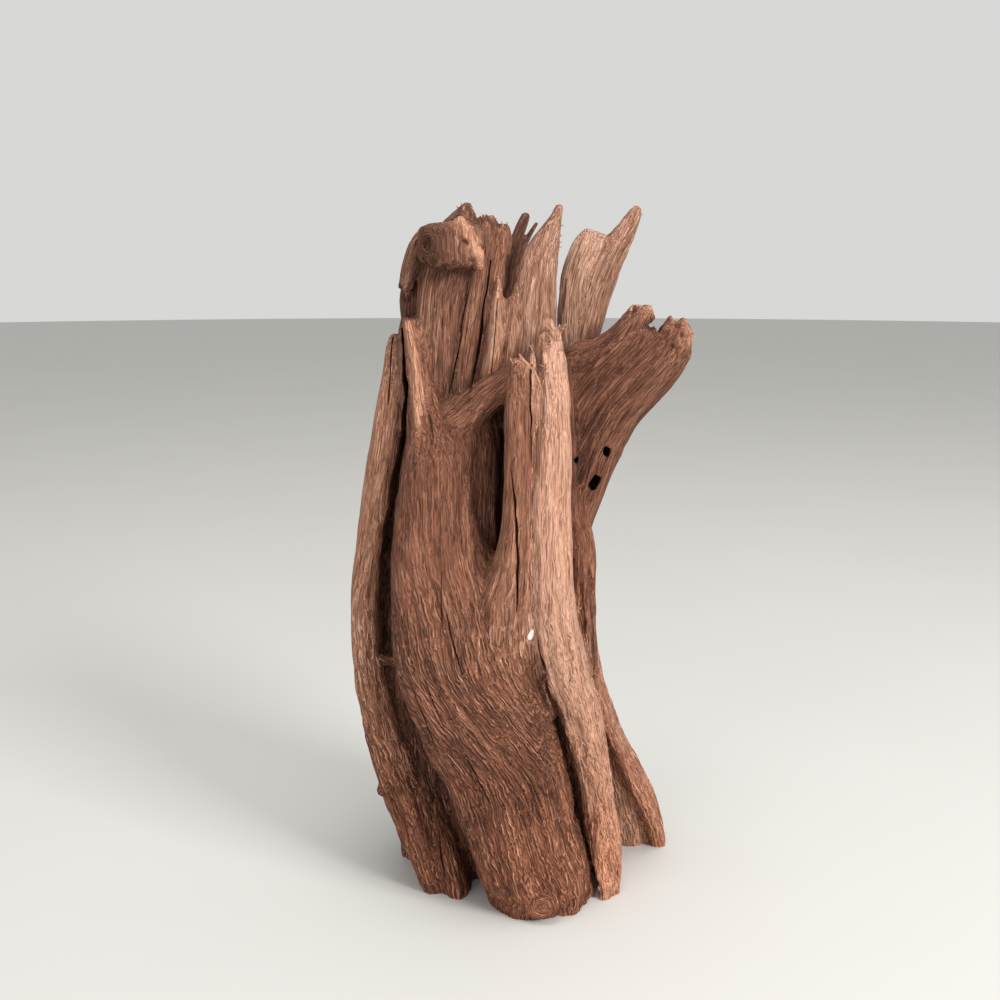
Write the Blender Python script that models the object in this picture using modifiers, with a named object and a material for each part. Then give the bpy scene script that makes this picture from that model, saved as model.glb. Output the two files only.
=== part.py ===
"""Driftwood sculpture: one weathered fragment of a stump that stands on the feet of its roots.

The wood is a single solid. Strands of grain rise from the feet and lie round a hollow, part along deep
clefts, and end in a crown of torn splinters. Each strand is swept through a few stations, the strands are
grown into one body, the clefts, cracks and worm holes are cut into it, and the feet are sawn level.
The origin is on the ground under the middle of the piece, +Z is up, and the broad shin faces -Y.
"""

import math
import random

import bmesh
import bpy
from mathutils import Matrix, Vector, noise

# Driving dimensions, in metres.
HEIGHT = 0.190  # from the ground to the tip of the tallest splinter
DRAWN_HEIGHT = 190.0  # the same height in the tables below
UNIT = HEIGHT / DRAWN_HEIGHT  # one table unit, a millimetre at this height

CROWN_FOOT = 146  # height at which the torn splinters start, in table units

# How the wood is made into one solid.
VOXEL = 0.65 * UNIT
TRIANGLES = 10600
STEP = 2.0  # along a strand and round it, in table units
RIDGE = 0.09  # height of a strand's own ridges, as a share of its radius
FURROW = 0.8  # depth of the furrows between them, in table units

# Colour of the wood.
WOOD_COLOUR = (0.33, 0.175, 0.115, 1.0)
WOOD_ROUGHNESS = 0.85

# A station is (x, y, z, half width, half depth): the middle of the strand there, and its half sizes.
# squareness is 2 for an oval section and more for a board's. tips is the number of torn slivers at the end.
STRANDS = {
    # The broad shin in front, from its sawn foot up to the ledge under the crown.
    "shin": dict(
        squareness=2.5,
        stations=(
            (4.6, -7, -2, 14.6, 13),
            (4.2, -8, 8, 15.6, 15),
            (1.4, -9.4, 17, 15.8, 16),
            (-2, -10.6, 28, 16, 16.5),
            (-5, -11.4, 39, 16.8, 17),
            (-8.6, -11.6, 51, 17.8, 17),
            (-12.6, -11.5, 62, 18.8, 17),
            (-15.4, -11, 73, 19.3, 17),
            (-17, -10.4, 82, 18.6, 16.5),
            (-19.4, -9.4, 91, 16.6, 16),
            (-21.6, -8.4, 100, 13.6, 15.6),
            (-22.2, -7.2, 110, 11.4, 15.2),
            (-22, -6.4, 120, 10.2, 15),
            (-22.2, -5.4, 129, 8.6, 13.6),
            (-24, -4.8, 138, 5.8, 11.6),
            (-26.6, -4.8, 147, 3.4, 9),
            (-28, -4.8, 155, 2.4, 7.6),
            (-28.8, -4.6, 160.5, 1.4, 6),
        ),
    ),
    # The smooth slope that falls from the shin into the pocket.
    "pocket_slope": dict(
        stations=(
            (-13, -3, 78, 9, 13),
            (-13.4, -3.4, 92, 8.2, 12.4),
            (-13.8, -3.6, 106, 7.8, 11.6),
            (-13.8, -4, 120, 7.8, 11.4),
            (-13.4, -5, 131, 7.6, 11.4),
            (-13.6, -6.6, 138, 6.4, 10),
        ),
    ),
    "brow": dict(
        stations=(
            (-22.4, -7.6, 123, 7, 6),
            (-21.5, -8.8, 129.4, 6.8, 6.4),
            (-17.6, -10.8, 134.6, 6, 6),
            (-13.6, -12, 137.6, 5.2, 5.4),
            (-9.8, -13, 141, 4.6, 4.8),
            (-6, -13.8, 144.2, 4, 4.4),
            (-2, -14.4, 147.4, 3, 4),
            (1, -14.6, 149.6, 2, 3),
        ),
    ),
    # The long slab on the left, held off the shin by a cleft.
    "slab": dict(
        squareness=4,
        stations=(
            (-22.6, 1, -2, 4.6, 8.4),
            (-24.8, 0.6, 5, 5.2, 10.2),
            (-28.2, 1, 16, 6, 11.8),
            (-31.7, 2, 28, 7, 13),
            (-35.2, 3, 38, 6.4, 14),
            (-38.6, 4, 49, 5.5, 15),
            (-41, 4.5, 60, 4.7, 15.5),
            (-42.4, 4.5, 72, 4.3, 15.5),
            (-42.5, 4.5, 86, 3.9, 15.5),
            (-41, 4, 98, 4.2, 15),
            (-39.1, 3, 111, 4.4, 13.5),
            (-37.1, 2, 124, 4.3, 12),
            (-35.3, 1, 136, 3.8, 11),
            (-34, 1, 146, 3, 9.5),
            (-33.8, 1, 153, 2, 7.5),
            (-33.6, 1, 156.4, 1.3, 5),
        ),
    ),
    "slab_toe": dict(
        squareness=2.6,
        stations=(
            (-18, -1.4, -2, 4.4, 9.8),
            (-19.4, -1.2, 6, 4.2, 9.6),
            (-22, -0.4, 15, 3.8, 9.4),
            (-25, 0.6, 24, 3.4, 8.4),
            (-28, 1, 32, 2.6, 7),
        ),
    ),
    "slab_knot": dict(
        ridge=2.4,
        stations=(
            (-34, -6.6, 36.6, 1.8, 2.6),
            (-36.6, -7.4, 33.6, 2.4, 3),
            (-38.6, -7.8, 31.6, 2, 2.6),
            (-39.6, -8, 30.6, 1.3, 1.8),
        ),
    ),
    # The recessed grain between the slab and the shin, and the small bridge that crosses the cleft.
    "inner_left": dict(
        ridge=1.6,
        stations=(
            (-20, 4, 4, 6, 9),
            (-24.4, 2.6, 18, 7, 10),
            (-29, 2, 34, 7.4, 11),
            (-33, 4.6, 52, 7, 10),
            (-35.4, 8, 70, 6.4, 8.6),
            (-36, 10, 96, 6.2, 7.6),
            (-33.4, 8.6, 122, 6, 6.6),
            (-31, 6.4, 144, 5, 6.4),
        ),
    ),
    "bridge": dict(
        stations=(
            (-43, -6, 70.6, 1.5, 2.6),
            (-38, -7.6, 69.4, 1.2, 2),
            (-32, -8, 68.4, 1.6, 2.6),
        ),
    ),
    # The heart of the stump, which the outer strands grow on.
    "heart": dict(
        squareness=2.2,
        stations=(
            (2, 9, 3, 22, 13),
            (0, 8, 16, 25, 15),
            (-5, 7, 34, 27, 16),
            (-9, 6, 54, 28, 16.5),
            (-11, 5, 74, 27, 16.5),
            (-10, 5, 92, 25, 13),
            (-9, 4.6, 108, 21, 9.6),
            (-8, 3.8, 124, 16, 7),
            (-8, 3, 132, 10, 4),
        ),
    ),
    # The narrow spine right of the pocket, the column beside it, and the wood that fills the groove between.
    "spine": dict(
        squareness=2.4,
        tips=3,
        stations=(
            (-5, -13, 66, 8.6, 8),
            (-5.6, -16, 77, 8.2, 9),
            (-5.8, -18, 86, 7.2, 9),
            (-5.2, -19, 91.6, 6.3, 9),
            (-3.7, -19.8, 98, 4.7, 8.6),
            (-2.8, -20.4, 107, 3.5, 8),
            (-2.2, -20.4, 117, 3.3, 7.4),
            (-1.7, -20, 129, 3.5, 6.8),
            (-1.7, -19.4, 139, 3.6, 6.2),
            (-1.5, -18.8, 146, 2.8, 5),
            (-1.2, -18.4, 150, 2.1, 3.6),
        ),
    ),
    "spine_filler": dict(
        stations=(
            (2, -7, 58, 5, 8),
            (0.6, -11.4, 74, 6.6, 9.4),
            (0.4, -14.4, 90, 6, 10),
            (0.8, -15.4, 106, 4.4, 9.4),
            (1, -15, 122, 3.8, 8.8),
            (1.2, -14.4, 136, 3.6, 8),
            (1.6, -12, 148, 3.4, 6),
        ),
    ),
    "column": dict(
        squareness=2.6,
        tips=5,
        stations=(
            (24.6, 2, -2, 3.4, 6.6),
            (24.8, 0.6, 6, 4.2, 8),
            (23.6, -1.4, 14, 4.9, 8.6),
            (21.8, -3.4, 24, 4.9, 8.6),
            (20.4, -5, 33, 4.8, 8.6),
            (18.6, -7, 42, 5.2, 8.8),
            (16.4, -9, 52, 5.8, 9),
            (13.8, -11.4, 61, 6.3, 9.6),
            (11, -13.6, 70, 6.6, 10),
            (8.8, -15.4, 79, 6.5, 10),
            (7.4, -16.4, 88, 6.5, 10),
            (6.6, -16.8, 98, 6.3, 9.6),
            (6.2, -16.8, 110, 6, 9),
            (6.4, -16.8, 122, 5.7, 8.6),
            (6.8, -16.2, 133, 5.2, 8),
            (6.8, -15, 143, 4.6, 6.8),
            (6.8, -13.2, 151, 3.7, 5),
            (6.6, -11.8, 156.4, 2.6, 3.4),
        ),
    ),
    # The torn splinters that stand on the column's face and rise past its top.
    "column_splinter_left": dict(
        ridge=0,
        stations=(
            (2.6, -20.6, 134, 1.4, 2),
            (2.4, -20.4, 143, 1.3, 1.8),
            (2.2, -19.6, 149.6, 0.9, 1.4),
            (2.3, -18.8, 153.4, 0.45, 0.6),
        ),
    ),
    "column_splinter_middle": dict(
        ridge=0,
        stations=(
            (5.6, -22.4, 126, 1.6, 2.4),
            (6, -21.8, 137, 1.5, 2.2),
            (5.6, -20, 147, 1.2, 1.8),
            (5, -18.2, 154, 0.8, 1.2),
            (4.8, -17.4, 158, 0.4, 0.5),
        ),
    ),
    "column_splinter_right": dict(
        ridge=0,
        stations=(
            (9.8, -19.4, 128, 1.7, 2.4),
            (10, -18.8, 138, 1.5, 2.2),
            (9.4, -17, 148, 1.2, 1.8),
            (8.7, -15.2, 156, 0.8, 1.1),
            (8.9, -14.4, 160, 0.4, 0.5),
        ),
    ),
    "column_splinter_high": dict(
        ridge=0,
        stations=(
            (7.7, -20, 138, 1.2, 1.8),
            (7.7, -18, 149, 1.1, 1.6),
            (7.1, -16, 157, 0.8, 1.1),
            (6.5, -15.2, 161.6, 0.4, 0.5),
        ),
    ),
    # The gnarled ridge down the column's foot.
    "foot_gnarl": dict(
        ridge=2.4,
        stations=(
            (20.4, -8.6, 32, 2.2, 2.6),
            (21.8, -9.6, 26, 3, 3.4),
            (23.2, -8.8, 19, 2.4, 3),
            (24.4, -8.4, 12, 3.1, 3.6),
            (25.4, -7.2, 5, 2.6, 3),
            (25.6, -6, -2, 2.4, 3),
        ),
    ),
    "foot_gnarl_left": dict(
        ridge=2.4,
        stations=(
            (19.8, -8.4, 38, 1.6, 2.2),
            (20.6, -9.2, 29, 2, 2.8),
            (21, -9.4, 21, 2.1, 3),
            (21.4, -9.4, 13, 2.1, 3),
            (22.2, -9.2, 6, 2.7, 3.4),
            (22.6, -8.6, 1, 2.6, 3.4),
            (22.6, -8, -2, 2.4, 3.2),
        ),
    ),
    # The side of the column, the rough strip under the branch, and the root fin that it runs down into.
    "column_side": dict(
        stations=(
            (17, 3, 30, 7, 10),
            (15.2, 1.6, 46, 7, 9.6),
            (13, 0.2, 62, 6.8, 9.4),
            (11, -1.6, 80, 6.2, 9),
            (10, -2, 98, 5.4, 8.4),
            (9.6, -2, 116, 4.8, 8),
            (9.4, -2, 134, 4.6, 7.4),
            (8.8, -2.4, 150, 4, 5.6),
        ),
    ),
    "strip": dict(
        ridge=2.4,
        stations=(
            (18.6, 1.6, 56, 3.4, 8.8),
            (17.6, 0, 68, 3.6, 8.6),
            (16.6, -2, 80, 4, 8.4),
            (16, -2.8, 92, 4.4, 8.4),
            (15.6, -2.6, 100, 4.2, 8.2),
            (14.2, -0.8, 107, 3.8, 7.8),
            (14.4, 1, 115, 4.4, 7),
        ),
    ),
    "fin": dict(
        squareness=2.8,
        stations=(
            (42.6, 27, -2, 3, 7),
            (41.5, 24, 6, 2.6, 7.5),
            (37.6, 19, 18, 2.1, 8.4),
            (32, 14.4, 30, 1.8, 9),
            (27, 10.6, 42, 1.8, 9.4),
            (22.6, 7.4, 54, 2.1, 9.8),
            (19.4, 5.4, 65, 2.8, 10),
            (16.6, 4, 76, 4, 9),
        ),
    ),
    "heel": dict(
        ridge=1.6,
        stations=(
            (33, 26, -2, 8.6, 6),
            (30.6, 22.6, 10, 8, 7.4),
            (26.6, 18, 24, 7.6, 8.2),
            (22.4, 13.6, 38, 7.4, 8.6),
            (18.4, 10.4, 52, 7.2, 9),
            (14.4, 7.8, 68, 7, 9.6),
            (12.6, 7, 84, 7, 9.4),
            (12, 6.4, 100, 6.4, 8.6),
        ),
    ),
    # The branch stub on the right: a fan of grain that gathers into a broken end with a notch in it.
    "branch_low": dict(
        squareness=2.2,
        stations=(
            (12.4, 4, 96, 5, 7.6),
            (14.6, 3.4, 107, 5.2, 7.6),
            (18, 2.4, 117, 5.6, 7.4),
            (21.4, 1.4, 127, 6, 7),
            (25.4, 0.4, 135.4, 6, 6.6),
            (31.4, -0.6, 142.4, 5.8, 6.2),
            (36.8, -1.4, 148.2, 5.2, 5.8),
            (40.2, -1.8, 152.4, 4.4, 5),
            (41.8, -1.8, 154.8, 3.2, 4),
        ),
    ),
    "branch_middle": dict(
        squareness=2.2,
        stations=(
            (11.6, 4, 110, 6, 7),
            (14, 3, 121, 6.6, 7),
            (18, 2, 131, 6.8, 6.6),
            (23.2, 1, 140, 6.6, 6.2),
            (29.4, 0, 147.6, 6.2, 6),
            (35.4, -0.8, 153.6, 5.2, 5.6),
            (38.8, -1.2, 157.2, 3.8, 4.6),
            (40, -1.2, 158.6, 2.6, 3.6),
        ),
    ),
    "branch_web": dict(
        ridge=0.8,
        stations=(
            (9.6, 3.4, 112, 5, 6),
            (12.4, 2.4, 126, 8, 6.6),
            (16, 1.6, 137, 9.6, 6.4),
            (21, 0.8, 144.6, 9, 6.2),
            (26.4, 0, 150.6, 7.2, 5.8),
            (30.4, -0.6, 155, 5.2, 5.2),
            (32.6, -0.8, 158, 3.4, 4.2),
        ),
    ),
    "branch_high": dict(
        squareness=2.2,
        stations=(
            (9.6, 3, 128, 6, 6.6),
            (12.4, 2.6, 139, 6.4, 6.4),
            (17, 2, 147.2, 6, 6),
            (22.6, 1.2, 151.4, 5, 5.6),
            (27, 0.4, 156, 4.2, 5.2),
            (29.8, -0.2, 160.6, 3.5, 4.4),
            (31, -0.4, 163, 2.6, 3.4),
        ),
    ),
    "branch_shoulder": dict(
        stations=(
            (8, 4, 134, 5, 6),
            (10.4, 3, 144, 5, 5.6),
            (14.4, 2, 149.6, 4.2, 5.2),
            (19.4, 1.4, 151.8, 3.6, 4.8),
            (24, 0.8, 154.6, 3.2, 4.4),
        ),
    ),
    # The lumps along its broken end.
    "branch_knob": dict(
        ridge=2.4,
        stations=(
            (37.4, -1.6, 157, 2.2, 3),
            (39.2, -2, 159.2, 2.4, 3.4),
            (41.4, -1.8, 158, 2.4, 3.4),
            (42.8, -1.6, 155, 2, 3.2),
            (42.8, -1.4, 152, 1.6, 2.6),
        ),
    ),
    "branch_horn": dict(
        ridge=2.4,
        stations=(
            (27.6, -0.8, 160, 1.9, 2.6),
            (29.8, -1, 163, 1.9, 2.6),
            (32.2, -1, 162.4, 1.8, 2.6),
            (33.6, -0.8, 160, 1.4, 2.2),
        ),
    ),
    # The crown on the left: boards that lean together, each a little behind the next.
    "crown_shell": dict(
        squareness=2.4,
        stations=(
            (-28, -2, 128, 4.6, 10),
            (-29, -2.4, 142, 4, 9.6),
            (-29.8, -2.4, 152, 3.2, 8.4),
            (-30, -2.2, 158, 2.4, 7.4),
            (-29.8, -2, 161, 1.7, 6.4),
        ),
    ),
    # The raised lip that the shin runs up into, beside the boards.
    "lip": dict(
        stations=(
            (-29.4, -9.6, 160.6, 1.1, 2.2),
            (-28.4, -10.6, 155.6, 1.5, 3),
            (-27.5, -11.2, 150.7, 1.8, 3.4),
            (-26.9, -11.8, 145.7, 2.1, 3.6),
            (-26.3, -12.4, 140.7, 2.5, 4),
            (-25.4, -12.8, 134.6, 3.2, 4.6),
            (-24.4, -12.8, 126, 3.6, 5),
        ),
    ),
    "burl": dict(
        squareness=2.6,
        stations=(
            (-30.6, -2.4, 168.4, 2, 5.4),
            (-29.6, -2.6, 171.6, 2.5, 6.6),
            (-28, -2.4, 175.4, 2.8, 7),
            (-26.2, -1.6, 178.6, 3.2, 6.6),
            (-23.6, -0.6, 182, 3.2, 5),
        ),
    ),
    "burl_chin": dict(
        squareness=3,
        stations=(
            (-28.8, 1.8, 154, 3.2, 6),
            (-28.9, 1.6, 160, 3.5, 5.8),
            (-29, 1.6, 166, 3.5, 5.6),
            (-28.2, 1.8, 171, 3.2, 5),
        ),
    ),
    "crown_board": dict(
        squareness=3.6,
        ridge=0.4,
        stations=(
            (-23.4, -2.6, 132, 5, 7.4),
            (-22.8, -4.4, 144, 5.4, 7),
            (-22.2, -5.2, 155, 5.7, 6.4),
            (-21.4, -4.6, 165, 6.1, 5.6),
            (-19.4, -3.4, 174, 6.4, 5.4),
            (-16.8, -2.8, 182, 4.8, 5.2),
            (-14.9, -2.2, 187, 2.7, 3.8),
            (-14.2, -1.6, 189.8, 1, 1.8),
        ),
    ),
    "crown_middle": dict(
        squareness=3,
        ridge=0.6,
        stations=(
            (-17.6, -1, 130, 4, 7),
            (-15.6, -3.4, 144, 3, 6.6),
            (-13.4, -3.8, 157, 2.8, 6.2),
            (-11.6, -3, 169, 3.1, 6),
            (-10.4, -1.8, 178, 3.1, 5),
            (-9.6, -1.2, 184, 2.7, 4),
            (-9.4, -1, 186.6, 1.6, 2.8),
        ),
    ),
    "crown_right": dict(
        squareness=3,
        ridge=0.6,
        stations=(
            (-12.8, 0, 134, 3.2, 6),
            (-11, -1.6, 147, 2.8, 6),
            (-9.2, -1.8, 159, 2.8, 6),
            (-7.6, -0.8, 169, 3.2, 5.4),
            (-6.4, 0, 176.6, 3.2, 4.8),
            (-5.4, 0.4, 181.6, 2.7, 3.8),
            (-5.5, 0.4, 184.8, 1.7, 2.6),
        ),
    ),
    "crown_back": dict(
        squareness=2.4,
        stations=(
            (-20, 5, 128, 9, 6),
            (-19.6, 4.4, 146, 9.6, 5),
            (-18.6, 4, 162, 9.6, 4.4),
            (-17, 3.4, 174, 8, 4),
            (-15, 2.4, 182, 5, 3),
        ),
    ),
    "sliver_front": dict(
        stations=(
            (-10.4, -6.4, 139, 2.2, 3.4),
            (-8.6, -7.8, 147, 2.4, 3.2),
            (-7.2, -8.4, 154, 2.3, 3),
            (-6.8, -8.2, 161, 1.9, 2.6),
            (-6.6, -7.6, 167, 1.3, 2),
            (-6.5, -7, 171.4, 0.5, 0.8),
        ),
    ),
    "sliver_gap": dict(
        tips=2,
        stations=(
            (-4.6, -5.6, 140, 2.6, 3.6),
            (-3.4, -7.2, 152, 2.4, 3.4),
            (-2.8, -7.6, 160, 2.1, 3),
            (-2.6, -7, 166.4, 1.5, 2.2),
        ),
    ),
    # The broken knot at the top left, which juts forward over the boards.
    "knot_stub": dict(
        squareness=5,
        ridge=0.5,
        stations=(
            (-13.4, -3.6, 178.9, 4.8, 5),
            (-14.8, -6, 179, 5.3, 5.5),
            (-17.4, -8.8, 179.1, 5.7, 5.8),
            (-20.6, -11.6, 179.3, 5.3, 5.5),
            (-22.6, -13.4, 179.4, 4.7, 5),
            (-23.5, -14.4, 179.4, 4, 4.3),
        ),
    ),
    "knot_eye": dict(
        ridge=0.8,
        stations=(
            (-20.6, -12.6, 179.3, 3.6, 4),
            (-23.6, -15, 179.4, 3.4, 3.8),
            (-24.1, -15.5, 179.4, 3, 3.4),
        ),
    ),
    "knot_torn": dict(
        ridge=2.4,
        stations=(
            (-16.4, -11.4, 185.6, 1.2, 2),
            (-14.8, -12.6, 182.6, 1.8, 2.6),
            (-13, -12, 179.4, 2, 2.8),
            (-11.6, -11, 176.4, 1.9, 2.6),
            (-11.2, -10, 173.2, 1.1, 1.8),
        ),
    ),
    # The tall pointed splinter in the middle.
    "spire": dict(
        squareness=2.6,
        stations=(
            (1.4, -2, 134, 5.6, 6.4),
            (2.2, -4, 147, 5.3, 6),
            (2.8, -4.8, 157, 5.5, 5.6),
            (3.2, -4.8, 166, 5.4, 5),
            (4.2, -4.4, 174.6, 4.9, 4.2),
            (6.2, -3.8, 180.6, 3.5, 3.4),
            (7.6, -3.4, 184.4, 2.2, 2.5),
            (8.7, -3, 187.4, 1.3, 1.6),
            (9.3, -2.8, 189.4, 0.8, 1),
        ),
    ),
    # The leaning blade behind it on the right, whose back edge runs up into a finger.
    "blade": dict(
        squareness=3,
        stations=(
            (11.4, 11, 96, 6, 6),
            (12.4, 12, 116, 6.2, 6.4),
            (13, 12.4, 134, 5.2, 5.4),
            (13.6, 12.6, 148, 4.4, 4.4),
            (14.2, 12.6, 160, 4.6, 3.8),
            (15.4, 12.6, 170, 5.4, 3.4),
            (17.4, 12.6, 176.6, 5.4, 3),
            (19, 12.6, 180.8, 4.4, 2.6),
            (19.8, 12.6, 183.2, 2.6, 1.9),
        ),
    ),
    "finger": dict(
        squareness=2.4,
        stations=(
            (15.4, 12, 140, 4.2, 4.6),
            (17.4, 12, 154, 4, 4),
            (19.8, 12, 165, 4.2, 3.4),
            (22.8, 12, 174, 4, 3),
            (25.8, 12, 180, 3.6, 2.7),
            (28.4, 12, 184.6, 2.7, 2.3),
            (30.1, 12, 188, 1.9, 1.8),
            (30.8, 12, 189.7, 1, 1.1),
        ),
    ),
    "twin_tall": dict(
        stations=(
            (-8, 9.6, 150, 3, 3),
            (-6.8, 9.6, 162, 2.6, 2.8),
            (-4.6, 9.4, 172, 2.2, 2.4),
            (-2.5, 9.2, 178.8, 1.7, 2),
            (-0.3, 9, 184.4, 1.5, 1.7),
            (1.2, 9, 187.8, 1.1, 1.3),
        ),
    ),
    "twin_short": dict(
        stations=(
            (-6, 12.5, 148, 3, 3),
            (-4.2, 12, 160, 2.4, 2.4),
            (-2.6, 11.6, 170, 1.9, 1.9),
            (-0.6, 11.2, 177, 1.2, 1.3),
            (1.8, 11, 181.8, 0.8, 0.9),
            (4.1, 11, 185.8, 0.55, 0.6),
        ),
    ),
    # The round knot low on the shin.
    "foot_knot": dict(
        stations=(
            (4.6, -12, 6, 5, 4.6),
            (5, -20, 5.6, 5.2, 4.6),
            (5.2, -23.4, 5.4, 4.8, 4.2),
            (5.2, -24.6, 5.4, 3.8, 3.2),
        ),
    ),
    # The hidden back: three boards round the hollow and a low root.
    "back_left": dict(
        squareness=2.6,
        tips=4,
        stations=(
            (-26, 18, -2, 9, 9),
            (-28, 18, 16, 9, 9),
            (-30, 17, 40, 9, 9),
            (-31, 16.5, 70, 9, 9),
            (-30, 16, 100, 8, 7.6),
            (-28, 15.5, 125, 6.6, 6),
            (-26, 15, 146, 5, 4.6),
            (-24.6, 14.5, 160, 3.4, 3.2),
        ),
    ),
    "back_middle": dict(
        squareness=2.8,
        tips=4,
        stations=(
            (-6, 25, -2, 11, 7),
            (-8, 25, 14, 11.5, 8),
            (-10, 24, 40, 11, 8.4),
            (-11, 23, 72, 10.5, 8.4),
            (-10, 22, 104, 9.6, 7),
            (-9, 20.5, 130, 8, 5),
            (-9, 19, 148, 6, 3.8),
            (-10, 18, 159, 4, 3),
        ),
    ),
    "back_right": dict(
        squareness=2.5,
        stations=(
            (14, 27, -2, 11, 7),
            (13, 25, 14, 11, 8.4),
            (11, 22.5, 36, 10.5, 9),
            (9, 20.5, 62, 10, 9),
            (9, 18.5, 90, 9.4, 8.4),
            (11, 15.5, 112, 8.6, 7.4),
            (12.6, 13.5, 126, 7, 6.2),
            (13.2, 13, 140, 5, 5),
            (13.4, 13, 150, 3, 3.4),
        ),
    ),
    "back_stub": dict(
        ridge=1.6,
        tips=3,
        stations=(
            (-24, 20, 84, 6, 6),
            (-27, 25, 92, 4.6, 4.8),
            (-29, 29, 98, 3.8, 4),
            (-30, 31, 101, 3, 3.2),
        ),
    ),
}

# Clefts and cracks, as blades that are cut away: the same stations, with the blade's half width and half depth.
CUTS = {
    "shin_column_cleft": (
        (4, -28, 77, 0.4, 8),
        (6.4, -25, 65, 0.8, 10),
        (9.4, -22, 56, 1.1, 11),
        (12, -20, 45, 1.3, 12),
        (14, -18, 34, 1.2, 13),
        (15.6, -16, 24, 0.9, 13),
        (18, -14, 15, 0.8, 13),
        (20.4, -11, 6, 0.8, 13),
        (21.4, -10, -4, 0.8, 13),
    ),
    "shin_column_seam": (
        (2.9, -27.6, 97, 0.2, 2),
        (2.9, -28, 90, 0.26, 3),
        (3.3, -29, 84, 0.34, 5),
        (4, -28.6, 77, 0.45, 7),
        (5.6, -26.4, 69, 0.55, 8),
    ),
    "spine_crack": (
        (1.8, -24.6, 151, 0.6, 6),
        (1.7, -25.6, 145, 0.55, 5.4),
        (1.7, -26.4, 137, 0.45, 5),
        (1.9, -27, 125, 0.32, 4),
        (2, -27, 112, 0.24, 3),
        (2.2, -27, 104, 0.2, 2.4),
    ),
    "spine_split": (
        (-4.8, -27, 143, 0.2, 2.2),
        (-3.7, -28.4, 130, 0.26, 2.8),
        (-2.4, -29, 117, 0.36, 3.4),
        (-1.7, -29, 105, 0.42, 3.6),
        (-1.5, -28.4, 96, 0.38, 3.4),
        (-1.8, -27.4, 88, 0.2, 2.4),
    ),
    "crown_crack_left": (
        (-13.4, -11, 172.6, 0.2, 3),
        (-14, -12, 168, 0.3, 4),
        (-15.5, -12.6, 160.7, 0.36, 5),
        (-17, -12.6, 150.7, 0.32, 4.4),
        (-19.2, -12.6, 142, 0.2, 3.4),
    ),
    "crown_crack_middle": (
        (-8.2, -8, 176, 0.3, 4),
        (-9.8, -10, 165.6, 0.42, 5),
        (-11.3, -10.6, 155.6, 0.5, 6),
        (-12.8, -11, 146.9, 0.42, 5),
        (-13.6, -11.6, 141.6, 0.3, 4),
    ),
    "crown_crack_right": (
        (-6.5, -9, 166, 0.25, 4),
        (-7.1, -10, 159.4, 0.3, 5),
        (-7.6, -10.6, 153, 0.3, 5),
        (-8.2, -11, 147, 0.25, 4),
    ),
    "crown_gap": (
        (-3.6, -4, 177, 0.8, 9),
        (-3.6, -5, 171, 1, 11),
        (-3.4, -6, 166.4, 0.7, 8),
    ),
    "crown_pit": (
        (-4.2, -14, 158, 0.7, 5),
        (-4.6, -15, 153, 1, 6.6),
        (-5, -15.6, 149.6, 0.7, 5),
    ),
    "slab_crack": (
        (-33.8, -8, 157, 0.3, 5),
        (-34.2, -9.6, 149, 0.25, 3),
        (-34.8, -10.4, 139, 0.2, 2.4),
    ),
    "slab_seam": (
        (-31, -9, 158.6, 0.28, 5),
        (-30.6, -9, 150, 0.4, 7),
        (-30.3, -9, 141, 0.5, 8.6),
        (-30.8, -8.4, 134, 0.55, 9),
    ),
    "slab_cleft": (
        (-30.6, -8.6, 138, 0.5, 9),
        (-31, -8, 132, 0.65, 10),
        (-32.6, -8, 123, 0.8, 11),
        (-34.5, -7, 113, 0.85, 11),
        (-36.3, -7, 103, 0.85, 11),
        (-37.7, -7, 92, 0.75, 10),
    ),
    "toe_crack": (
        (-23.2, -10.4, 20, 0.2, 2.2),
        (-22.4, -10.6, 13, 0.28, 2.6),
        (-21.4, -10.6, 6, 0.2, 2.2),
    ),
    "branch_notch": (
        (35.4, -1, 157, 0.7, 9),
        (36.1, -1, 160.4, 1.3, 9),
        (36.6, -1, 166, 2.6, 9),
    ),
    "back_cleft_left": (
        (-20, 30, -4, 1.6, 12),
        (-21, 29, 20, 1.6, 11),
        (-21.4, 28, 50, 1.4, 10),
        (-21, 27, 84, 1.3, 10),
        (-19.6, 25, 116, 1.2, 9),
        (-18, 22, 150, 1.6, 12),
    ),
    "back_cleft_right": (
        (4, 33, -4, 1.5, 11),
        (2.4, 32, 24, 1.4, 11),
        (0.6, 30, 56, 1.1, 9),
        (0, 28, 84, 1, 8),
        (1.6, 26, 112, 1.2, 9),
        (2.6, 22, 146, 2.4, 14),
    ),
}

# Worm holes: (mouth, direction inwards, half width, half height, depth).
HOLES = (
    ((18.6, -8, 118), (0.15, 1, -0.1), 1.2, 2.3, 14),
    ((21.8, -8, 126), (0.1, 1, 0), 0.9, 1.5, 12),
    ((14.2, -9, 123.6), (0, 1, 0), 0.8, 1.1, 10),
    ((-8, 34, 96), (0.1, -1, -0.1), 2.2, 3.6, 16),
    ((-24.3, -15.7, 179.4), (0.77, 0.64, 0), 1.5, 2, 1.4),
)


def spaced(stations):
    """The stations joined by a smooth curve and read again every STEP, as lists of the same numbers."""
    rows = [Vector(s) for s in stations]
    rows = [2 * rows[0] - rows[1], *rows, 2 * rows[-1] - rows[-2]]
    made = []
    for before, start, end, after in zip(rows, rows[1:], rows[2:], rows[3:]):
        pieces = max(1, round((Vector(end[:3]) - Vector(start[:3])).length / STEP))
        for i in range(pieces):
            t = i / pieces
            made.append(
                0.5
                * (
                    2 * start
                    + (end - before) * t
                    + (2 * before - 5 * start + 4 * end - after) * t * t
                    + (3 * start - before - 3 * end + after) * t**3
                )
            )
    made.append(rows[-2])
    return made


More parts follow.
